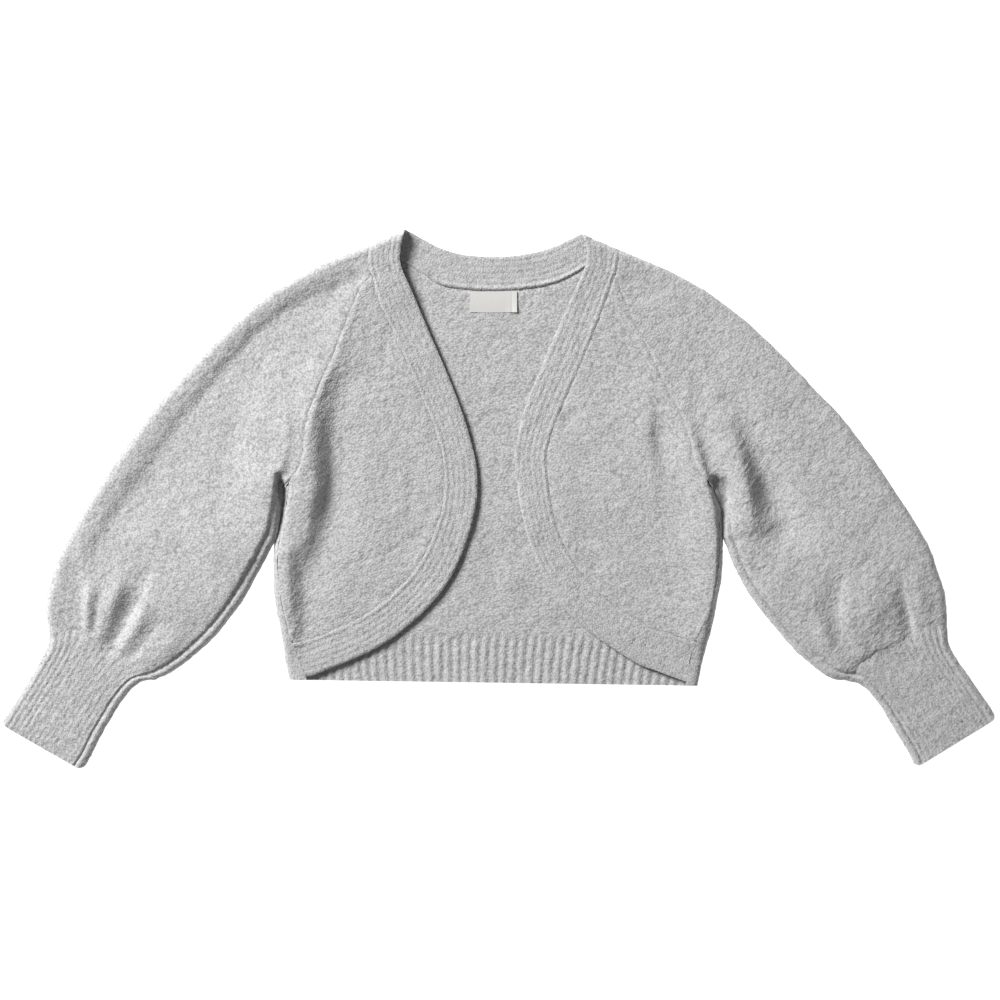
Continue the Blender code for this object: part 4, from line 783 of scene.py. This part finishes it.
def make_cuff(side, piece, cloth):
    """One ribbed cuff, a flattened tube whose ribs show on its upper half."""
    data = SIDES[side]
    table, last = data["cuff"], len(data["sleeve"]) - 1.0
    seam_paths, seam_row = sleeve_paths(side, last, sleeve_seams(side))
    seam_top = seam_paths[0]
    seam_height = rest_on_fold(sleeve_base(side, last, seam_row, seam_top) + fold_relief(*seam_top.T))
    seam_at, seam_bulge = own_bulge(seam_top)
    rings = []
    for t in np.linspace(0.0, len(table) - 1.0, CUFF_ROWS):
        row = smooth(table, t)[0]
        length = np.linalg.norm(row[2:4] - row[:2])
        shares, low_shares = (shares_with_rolls(length, CUFF_ROLL, count) for count in CUFF_COLUMNS)
        top = across(row, shares)
        top += max(0.0, 1.0 - t / CUFF_BEND) * read_rows(shares, seam_at, seam_bulge)
        near_seam = max(0.0, 1.0 - t / CUFF_SETTLE) ** 2
        height = row[4] + near_seam * (np.interp(shares, seam_at, seam_height) - row[4])
        for place, depth in data["cuff_creases"]:
            from_edge = length * (shares if place > 0 else 1.0 - shares)
            height -= depth * min(1.0, t) * bell(from_edge - abs(place), CUFF_CREASE_WIDTH)
        ring = tube_ring((top, across(row, low_shares)), height, CUFF_ROLL,
                         edge_normals(table, t, data["inward"]))
        ring[0][:len(shares), 2] += min(1.0, CUFF_RIB_START + t) * cuff_ribs(side, shares, t)
        rings.append(ring)
    ring_shares = np.concatenate([shares, low_shares[-2:0:-1]])
    outer, inner = (round_corners(np.array(loops), ring_shares, CUFF_CORNER) for loops in zip(*rings))
    coords = cloth_coords(outer, data["cuff_rows"], piece)
    outer = roughen(outer, coords, cloth, down_lengths(outer), upper_columns=CUFF_COLUMNS[0], closed=True)
    return add_tube("cuff_" + side, outer, inner, coords, cloth)


# ---- fronts

def front_edges(side, rows):
    """The front's ends in plan, row by row: on the raglan and side seam, and on the band seam."""
    raglan = np.array(SIDES[side]["raglan"])
    heights = np.append(BODY["y"][BODY["y"] >= HEM_TOP], HEM_TOP - FRONT_TIP)
    seam = np.stack([body_line(side + "_seam", heights), heights], axis=1)
    outer = even_curve(np.vstack([along(raglan, [CORNER_STEP]), raglan[1:-1], seam]), rows)
    band = np.array(SIDES[side]["band"])
    path = smooth(band[:, 2:], np.linspace(BAND_CORNER, len(band) - 1, DENSE))
    return outer, along(path, np.linspace(CORNER_STEP, lengths(path)[-1] - CORNER_STEP, rows))


def make_front(side, piece, cloth):
    """One front, from its raglan and side seam to the band seam, lying on the back."""
    sign = SIDES[side]["inward"]
    start, end = front_edges(side, FRONT_ROWS)
    start, end = shift(start, sign * SEAM_GAP / 2), shift(end, -sign * SEAM_GAP / 2)
    shares = np.linspace(0.0, 1.0, FRONT_COLUMNS)[None, :, None]
    plan = start[:, None] + shares * (end - start)[:, None]
    x, y = plan[..., 0], plan[..., 1]
    from_edge = (x - body_line(side + "_edge", y)) * sign
    distance = np.where(y > BODY["y"][0] + SEAM_GAP, SIDE_ROLL, from_edge)
    round_part = roundness(distance, SIDE_ROLL)
    half = upper_height(x, y) / 2
    from_outer, from_band = (np.linalg.norm(plan - edge[:, None], axis=2) for edge in (start, end))
    on_raglan = held((y[:, :1] - RIDGE_END) / RIDGE_END_FADE)
    seam = on_raglan * FRONT_RIDGE[side] * bell(from_outer - FRONT_RIDGE_IN, FRONT_RIDGE_WIDTH)
    seam -= SEAM_LINE * bell(from_outer, RAGLAN_WIDTH) + BAND_LINE * bell(from_band, SEAM_WIDTH)
    outer = np.stack([x, y, half * (1 + round_part) + seam], axis=2)
    x_in = x + sign * WALL * held(1.0 - (distance - SEAM_GAP) / SIDE_ROLL)
    inner = np.stack([x_in, y, half + (half - WALL) * round_part], axis=2)
    coords = cloth_coords(outer, SIDES[side]["front_rows"], piece)
    outer = roughen(outer, coords, cloth, np.minimum(from_outer, from_band))
    return add_sheet("front_" + side, outer, inner, coords, cloth)


# ---- band

def rib_wave(places):
    """Height of rounded ribs, 1 on each whole number and 0 half way between."""
    return (0.5 + 0.5 * np.cos(2.0 * math.pi * places)) ** RIB_SHARPNESS


def draw_back(row, distance):
    """Moves the seam end of a band's row towards its free end."""
    row[2:] += unit(row[:2] - row[2:]) * distance


def band_loop(plan, outer_z, inner_z, shown=1.0, inner_plan=None, ridge=BAND_RIDGE):
    """Closed section across the band: ribs and a rolled free edge outside, a plain inside."""
    at = lengths(plan)
    from_seam = at[-1] - at
    ribs = BAND_RIB_DEPTH * (rib_wave(BAND_RIBS * at / at[-1] + 0.5) - 0.5) * held(at / BAND_EDGE)
    outer_z = outer_z + shown * (ribs + ridge * bell(from_seam - BAND_RIDGE_IN, BAND_RIDGE_WIDTH)
                                 - BAND_LINE * bell(from_seam, SEAM_WIDTH))
    edge = 1.0 - roundness(at, BAND_EDGE)
    outer_z = outer_z - edge * (outer_z - inner_z) / 2
    inner_plan = plan if inner_plan is None else inner_plan
    picked = np.linspace(len(plan) - 1, 0, BAND_INSIDE).astype(int)[:-1]
    under = inner_z[picked] + edge[picked] * (outer_z - inner_z)[picked] / 2
    return np.vstack([np.column_stack([plan, outer_z]), np.column_stack([inner_plan[picked], under])])


def finish_band(name, loops, degrees, piece, cloth):
    """The mesh of a band from its sections, roughened."""
    loops = np.array(loops)
    coords = cloth_coords(loops, degrees, piece)
    from_seam = np.linalg.norm(loops - loops[:, BAND_COLUMNS - 1:BAND_COLUMNS], axis=2)
    loops = roughen(loops, coords, cloth, from_seam, RIB_ROUGHNESS, BAND_COLUMNS, closed=True)
    return add_strip(name, loops, coords, cloth)


def make_band(side, piece, cloth):
    """The ribbed band of one front, from the side seam up to the shoulder and over its fold."""
    sign = SIDES[side]["inward"]
    rows = np.array(SIDES[side]["band"])
    shares = np.linspace(0.0, 1.0, BAND_COLUMNS)
    fold, over, under = rows[0].copy(), rows[1].copy(), np.array(NECKBAND[SIDES[side]["neck_end"]])
    for row in (fold, over, under):
        draw_back(row, SEAM_GAP / 2)
    loops = []
    half_fold, half_over = (upper_height(*across(row, shares).T) / 2 for row in (fold, over))
    for turn in np.linspace(-math.pi / 2, math.pi / 2, FOLD_ROWS)[:-1]:
        target = under if turn <= 0 else over
        rise, reach = math.sin(turn), 1.0 - math.cos(turn)
        half = half_fold + reach * (half_over - half_fold) * (turn > 0)
        size = np.linalg.norm((target - fold).reshape(2, 2), axis=1).mean()
        reach = min(reach, 1.0 - SEAM_GAP / size)
        reach_in = (WALL + reach * (size - WALL)) / size
        line, line_in = fold + reach * (target - fold), fold + reach_in * (target - fold)
        if turn <= 0:                   # out of the sleeve's way at the fold
            draw_back(line, UNDER_CLEAR)
            draw_back(line_in, UNDER_CLEAR)
        loops.append(band_loop(across(line, shares), half * (1 + rise), half + (half - WALL) * rise,
                               held(0.5 + rise), across(line_in, shares)))
    dense = np.linspace(1.0, len(rows) - 1.0, DENSE)
    middle = smooth(rows, dense)
    at = lengths((middle[:, :2] + middle[:, 2:]) / 2)
    table = smooth(rows, np.interp(np.linspace(0.0, at[-1], BAND_ROWS), at, dense))
    table[:, 2:] = shift(table[:, 2:], sign * SEAM_GAP / 2)
    for index, row in enumerate(table):
        plan = across(row, shares)
        if index == len(table) - 1:     # its end lies along the side seam
            plan[:, 0] = body_line(side + "_seam", plan[:, 1]) + sign * 2.0 * SEAM_GAP
        height = upper_height(*plan.T)
        loops.append(band_loop(plan, height, height - WALL))
    return finish_band("band_" + side, loops, SIDES[side]["front_rows"], piece, cloth)


def make_neckband(piece, cloth):
    """The same band behind the neck, flat on the surface, its ribs on the side that shows."""
    rows = np.array(NECKBAND)
    rows[:, 2:] = shift(rows[:, 2:], SEAM_GAP / 2)
    for end, after in ((0, 1), (-1, -2)):
        rows[end] += unit((rows[after] - rows[end]).reshape(2, 2)).ravel() * SEAM_GAP / 2
    shares = np.linspace(0.0, 1.0, BAND_COLUMNS)
    flat = np.full(BAND_COLUMNS, WALL)
    loops = [band_loop(across(row, shares), flat, flat - WALL, ridge=NECK_RIDGE)
             for row in smooth(rows, np.linspace(0.0, len(rows) - 1.0, NECK_ROWS))]
    return finish_band("neckband_back", loops, 0.0, piece, cloth)


# ---- back

def back_columns(y_left, y_right, flat_shares, ribs=0.0):
    """Outer and inner points across the back at two heights: up over both side folds."""
    rolled = len(QUARTER)
    ends = []
    for side, y in (("left", y_left), ("right", y_right)):
        sign = SIDES[side]["inward"]
        edge = body_line(side + "_edge", y)
        over = (body_line(side + "_seam", y) - edge) * sign - SEAM_GAP / 2
        distance = np.concatenate([QUARTER[::-1] * over, QUARTER[1:] * SIDE_ROLL])
        inset = np.where(distance < SIDE_ROLL, WALL + distance * (SIDE_ROLL - WALL) / SIDE_ROLL, distance)
        round_part = roundness(distance, SIDE_ROLL)
        round_part[rolled:] *= -1.0
        half = upper_height(edge + sign * distance, np.full(len(distance), float(y))) / 2
        half[rolled:] = half[rolled - 1]
        ends.append(((edge + sign * distance, half * (1 + round_part)),
                     (edge + sign * inset, half + (half - WALL) * round_part)))
    sheets = []
    for left, right, flat_z in zip(*ends, (0.0, WALL + ribs)):
        flat = left[0][-1] + (right[0][-1] - left[0][-1]) * flat_shares[1:-1]
        x = np.concatenate([left[0], flat, right[0][::-1]])
        z = np.concatenate([left[1], flat_z + 0 * flat, right[1][::-1]])
        y = np.interp(x, [left[0][rolled], right[0][rolled]], [y_left, y_right])
        sheets.append(np.stack([x, y, z], axis=1))
    return sheets


def finish_back(name, outer, inner, from_seam, strength, piece, cloth, shown=slice(None)):
    """The mesh of the back or its hem, its inside roughened only between the side folds."""
    coords = cloth_coords(outer, 0.0, piece)
    rough = roughen(inner, coords, cloth, from_seam, strength)
    inner[:, CURL:-CURL] = rough[:, CURL:-CURL]
    outer = roughen(outer, coords, cloth, from_seam, strength, ROLL_STEPS)
    return add_sheet(name, outer, inner, coords, cloth, shown)


def make_back(piece, cloth):
    """The raglan back: flat on the surface, curled up over the side folds below the underarm."""
    neck = shift(np.array(NECKBAND)[:, 2:], -SEAM_GAP / 2)[NECK_FIRST:NECK_LAST + 1]
    neck = even_curve(neck, BACK_COLUMNS)
    shares = np.linspace(0.0, 1.0, BACK_COLUMNS)
    dip = neck - across(np.append(neck[0], neck[-1]), shares)
    ends = []
    for data, end in zip(SIDES.values(), (neck[0], neck[-1])):
        path = even_curve(shift(data["back_raglan"], data["inward"] * SEAM_GAP / 2), RAGLAN_ROWS)
        ends.append(path + (end - path[0]) * np.linspace(1.0, 0.0, RAGLAN_ROWS)[:, None])
    fade = held(1.0 - np.linspace(0.0, NECK_DIP_FADE, RAGLAN_ROWS))
    plan = ends[0][:, None] + shares[None, :, None] * (ends[1] - ends[0])[:, None]
    plan += dip * fade[:, None, None]
    plan = np.pad(plan, ((0, 0), (CURL, CURL), (0, 0)), "edge")
    sections = [back_columns(y, y, shares)
                for y in np.linspace(BODY["y"][0], HEM_TOP + SEAM_GAP / 2, BACK_ROWS)]
    outer, inner = (np.concatenate([np.pad(plan, ((0, 0), (0, 0), (0, 1)), constant_values=z), below])
                    for z, below in zip((0.0, WALL), zip(*sections)))
    sag = sum(size * bell(np.hypot(outer[..., 0] - x, (outer[..., 1] - y) / DENT_STRETCH), width)
              for x, y, width, size in BACK_DENTS)
    from_neck = down_lengths(inner)
    relief = sag - NECK_GROOVE * bell(from_neck, SEAM_WIDTH)
    inner[:, CURL:-CURL, 2] += relief[:, CURL:-CURL]
    shown = np.ones((len(outer) - 1, outer.shape[1] - 1), bool)
    for curled in (shown[:RAGLAN_ROWS, :CURL], shown[:RAGLAN_ROWS, :-CURL - 1:-1]):
        curled[:] = False
        curled[-1, ROLL_STEPS:] = True      # closes the cloth under the armpits
    from_seam = np.minimum(abs(outer[..., 1] - HEM_TOP), from_neck)
    return finish_back("back_panel", outer, inner, from_seam, BACK_ROUGHNESS, piece, cloth, shown.ravel())


def make_hem(piece, cloth):
    """The ribbed hem below the back, over the same side folds; ribs show on its upper side."""
    flat_shares = np.linspace(0.0, 1.0, HEM_RIBS * HEM_STEPS + 1)
    ribs = HEM_RIB_DEPTH * (rib_wave(HEM_RIBS * flat_shares)[1:-1] ** HEM_RIB_POWER - HEM_RIB_MIDDLE)
    top = HEM_TOP - SEAM_GAP / 2
    sections = []
    for share in np.linspace(0.0, 1.0, HEM_ROWS):
        y_left, y_right = (top + share * (bottom - top) for bottom in (HEM_BOTTOM_LEFT, HEM_BOTTOM_RIGHT))
        sections.append(back_columns(y_left, y_right, flat_shares, ribs * min(1.0, HEM_RIB_START * share)))
    outer, inner = (np.array(rows) for rows in zip(*sections))
    return finish_back("back_hem_rib", outer, inner, outer[..., 1] - HEM_TOP, RIB_ROUGHNESS, piece, cloth)


def make_label(piece, cloth):
    """The bare woven label, sewn down along its top, its right end softly folded under."""
    x, y = np.meshgrid(np.linspace(LABEL_LEFT, LABEL_RIGHT, LABEL_COLUMNS),
                       np.linspace(LABEL_TOP, LABEL_BOTTOM, LABEL_ROWS))
    loose = held((x - LABEL_SEWN) / (LABEL_RIGHT - LABEL_SEWN))
    low = (LABEL_TOP - y) / (LABEL_TOP - LABEL_BOTTOM)
    level = WALL + SEAM_GAP
    under = level + LABEL_LIFT * loose ** 2 * (LABEL_TOP_LIFT + (1 - LABEL_TOP_LIFT) * low)
    wave = LABEL_WAVE * (LABEL_TOP_WAVE + (1 - LABEL_TOP_WAVE) * low)
    under -= wave * bell(x - LABEL_FOLD, LABEL_FOLD_WIDTH)
    under = np.maximum(under, level) + LABEL_BULGE * np.sin(math.pi * low) * (1.0 - loose)
    outer, inner = (np.stack([x, y, z], axis=2) for z in (under + LABEL_THICKNESS, under))
    return add_sheet("label", outer, inner, cloth_coords(outer, 0.0, piece), cloth)


# ---- finishes

def set_inputs(tree, node, inputs):
    """Sets a shader node's inputs; one that is given as an output is linked to it."""
    for name, value in inputs.items():
        if isinstance(value, bpy.types.NodeSocket):
            tree.links.new(value, node.inputs[name])
        else:
            node.inputs[name].default_value = value


def add_node(tree, kind, inputs, **settings):
    """The outputs of a new shader node with those inputs and settings."""
    node = tree.nodes.new("ShaderNode" + kind)
    for name, value in settings.items():
        setattr(node, name, value)
    set_inputs(tree, node, inputs)
    return node.outputs


def product(tree, first, second):
    """The output of a node that multiplies two numbers."""
    return add_node(tree, "Math", {0: first, 1: second}, operation="MULTIPLY")[0]


def cloth_places(tree, stretch):
    """Places on the cloth in millimetres, drawn out along its rows by the stretch."""
    places = add_node(tree, "Attribute", {}, attribute_name="cloth")["Vector"]
    return add_node(tree, "VectorMath", {0: places, 1: (1.0 / stretch, 1.0, 1.0)}, operation="MULTIPLY")[0]


def new_material(name):
    """A new material, its node tree and its shader."""
    material = bpy.data.materials.new(name)
    material.use_nodes = True
    return material, material.node_tree, material.node_tree.nodes["Principled BSDF"]


def knit_material(name, light, pit_shade, stretch):
    """Soft brushed boucle knit: curled loops, their pits darkened with painted shade, in faint clouds of
    tone.
    """
    material, tree, shader = new_material(name)
    places = cloth_places(tree, stretch)
    curls = add_node(tree, "TexNoise", {"Vector": places, "Scale": LOOP_SCALE / CURL_SIZE, "Detail": 3.0,
                                        "Roughness": 0.75})["Fac"]
    loops = add_node(tree, "TexVoronoi", {"Vector": places, "Scale": LOOP_SCALE})["Distance"]
    clouds = add_node(tree, "TexNoise", {"Vector": places, "Scale": CLOUD_SCALE, "Detail": 3.0})["Fac"]
    raised, sunk = product(tree, curls, CURL_HEIGHT), product(tree, loops, PIT_DEPTH)
    height = add_node(tree, "Math", {0: raised, 1: sunk}, operation="SUBTRACT")[0]
    # the colour follows the loops' height: painted shade in the pits, the yarn's own colour on the curls
    tone = add_node(tree, "MapRange", {"Value": height, "From Min": PIT_SHADE_FROM,
                                       "From Max": PIT_SHADE_TO})["Result"]
    pit_shaded_colour = add_node(tree, "Mix", {"Factor": tone, "A": (pit_shade, pit_shade, pit_shade, 1.0),
                                   "B": (light, light, light, 1.0)}, data_type="RGBA")["Result"]
    cloudy = add_node(tree, "MapRange", {"Value": clouds, "From Min": CLOUD_FROM, "From Max": CLOUD_TO,
                                         "To Min": CLOUD_DARK, "To Max": CLOUD_LIGHT})["Result"]
    colour = add_node(tree, "VectorMath", {0: pit_shaded_colour, "Scale": cloudy}, operation="SCALE")
    bump = add_node(tree, "Bump", {"Height": height, "Strength": BUMP_STRENGTH, "Distance": BUMP_MM * MM})
    set_inputs(tree, shader, {"Base Color": colour["Vector"], "Normal": bump["Normal"], "Roughness": 0.95,
                              "Specular IOR Level": 0.15, "Sheen Weight": 0.25, "Sheen Roughness": 0.6})
    return material


def label_material():
    """Smooth woven satin: fine crosswise threads and a soft sheen."""
    material, tree, shader = new_material("label_cloth_finish")
    threads = add_node(tree, "TexWave", {"Vector": cloth_places(tree, 1.0), "Scale": LOOP_SCALE,
                                         "Distortion": 0.4, "Detail": 1.0}, bands_direction="Y")["Fac"]
    bump = add_node(tree, "Bump", {"Height": threads, "Strength": 0.25, "Distance": THREAD_MM * MM})
    tone = add_node(tree, "MapRange", {"Value": threads, "To Min": LABEL_DARK,
                                       "To Max": LABEL_LIGHT})["Result"]
    colour = add_node(tree, "CombineColor", {"Red": tone, "Green": product(tree, tone, LABEL_GREEN),
                                             "Blue": product(tree, tone, LABEL_BLUE)})
    set_inputs(tree, shader, {"Base Color": colour["Color"], "Normal": bump["Normal"], "Roughness": 0.5,
                              "Sheen Weight": 0.1})
    return material


# ---- stage

def make_camera():
    """Straight above the shrug, far enough away to see it flat, a millimetre to a pixel."""
    data = bpy.data.cameras.new("camera")
    data.lens = data.sensor_width * CAMERA_HEIGHT / VIEW_WIDTH
    data.clip_end = VIEW_END
    camera = add_object("camera", data)
    camera.location = (0.0, 0.0, CAMERA_HEIGHT + VIEW_LEVEL)
    bpy.context.scene.camera = camera


def make_light():
    """A soft key light from the upper left over an even pale sky."""
    lamp = bpy.data.lights.new("key", "AREA")
    lamp.shape = "DISK"
    lamp.size = KEY_SIZE
    lamp.energy = KEY_POWER
    key = add_object("key", lamp)
    key.location = KEY_PLACE
    key.rotation_mode = "QUATERNION"
    key.rotation_quaternion = (-key.location.normalized()).to_track_quat("-Z", "Y")
    world = bpy.data.worlds.new("sky")
    world.use_nodes = True
    sky = world.node_tree.nodes["Background"]
    set_inputs(world.node_tree, sky, {"Color": WHITE, "Strength": SKY_STRENGTH})
    bpy.context.scene.world = world


def make_floor():
    """A wide pale surface under the shrug, bright enough to be almost without shadows."""
    mesh = bpy.data.meshes.new("floor")
    half = FLOOR_SIZE / 2
    corners = [(x, y, FLOOR_LEVEL) for x, y in ((-half, -half), (half, -half), (half, half), (-half, half))]
    mesh.from_pydata(corners, [], [(0, 1, 2, 3)])
    material, tree, shader = new_material("floor_finish")
    set_inputs(tree, shader, {"Base Color": FLOOR_COLOUR, "Roughness": 1.0, "Specular IOR Level": 0.0,
                              "Emission Color": WHITE, "Emission Strength": FLOOR_GLOW})
    mesh.materials.append(material)
    add_object("floor", mesh)


def main():
    for thing in list(bpy.data.objects):
        bpy.data.objects.remove(thing)
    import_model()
    bpy.context.scene.view_settings.view_transform = "Standard"
    make_camera()
    make_light()
    make_floor()
    knit = Cloth("knit", KNIT_LUMPS, knit_material("knit_finish", KNIT_LIGHT, KNIT_PIT_SHADE, KNIT_STRETCH))
    rib = Cloth("rib_knit", RIB_LUMPS, knit_material("rib_knit_finish", RIB_LIGHT, RIB_PIT_SHADE, 1.0))
    satin = Cloth("label_cloth", (), label_material())
    pieces = {"back_panel": make_back(0, knit), "back_hem_rib": make_hem(1, rib),
              "neckband_back": make_neckband(2, rib), "label": make_label(3, satin)}
    for number, side in enumerate(SIDES):
        pieces["front_" + side] = make_front(side, 4 + number, knit)
        pieces["band_" + side] = make_band(side, 6 + number, rib)
        pieces["sleeve_" + side] = make_sleeve(side, 8 + number, knit)
        pieces["cuff_" + side] = make_cuff(side, 10 + number, rib)


main()
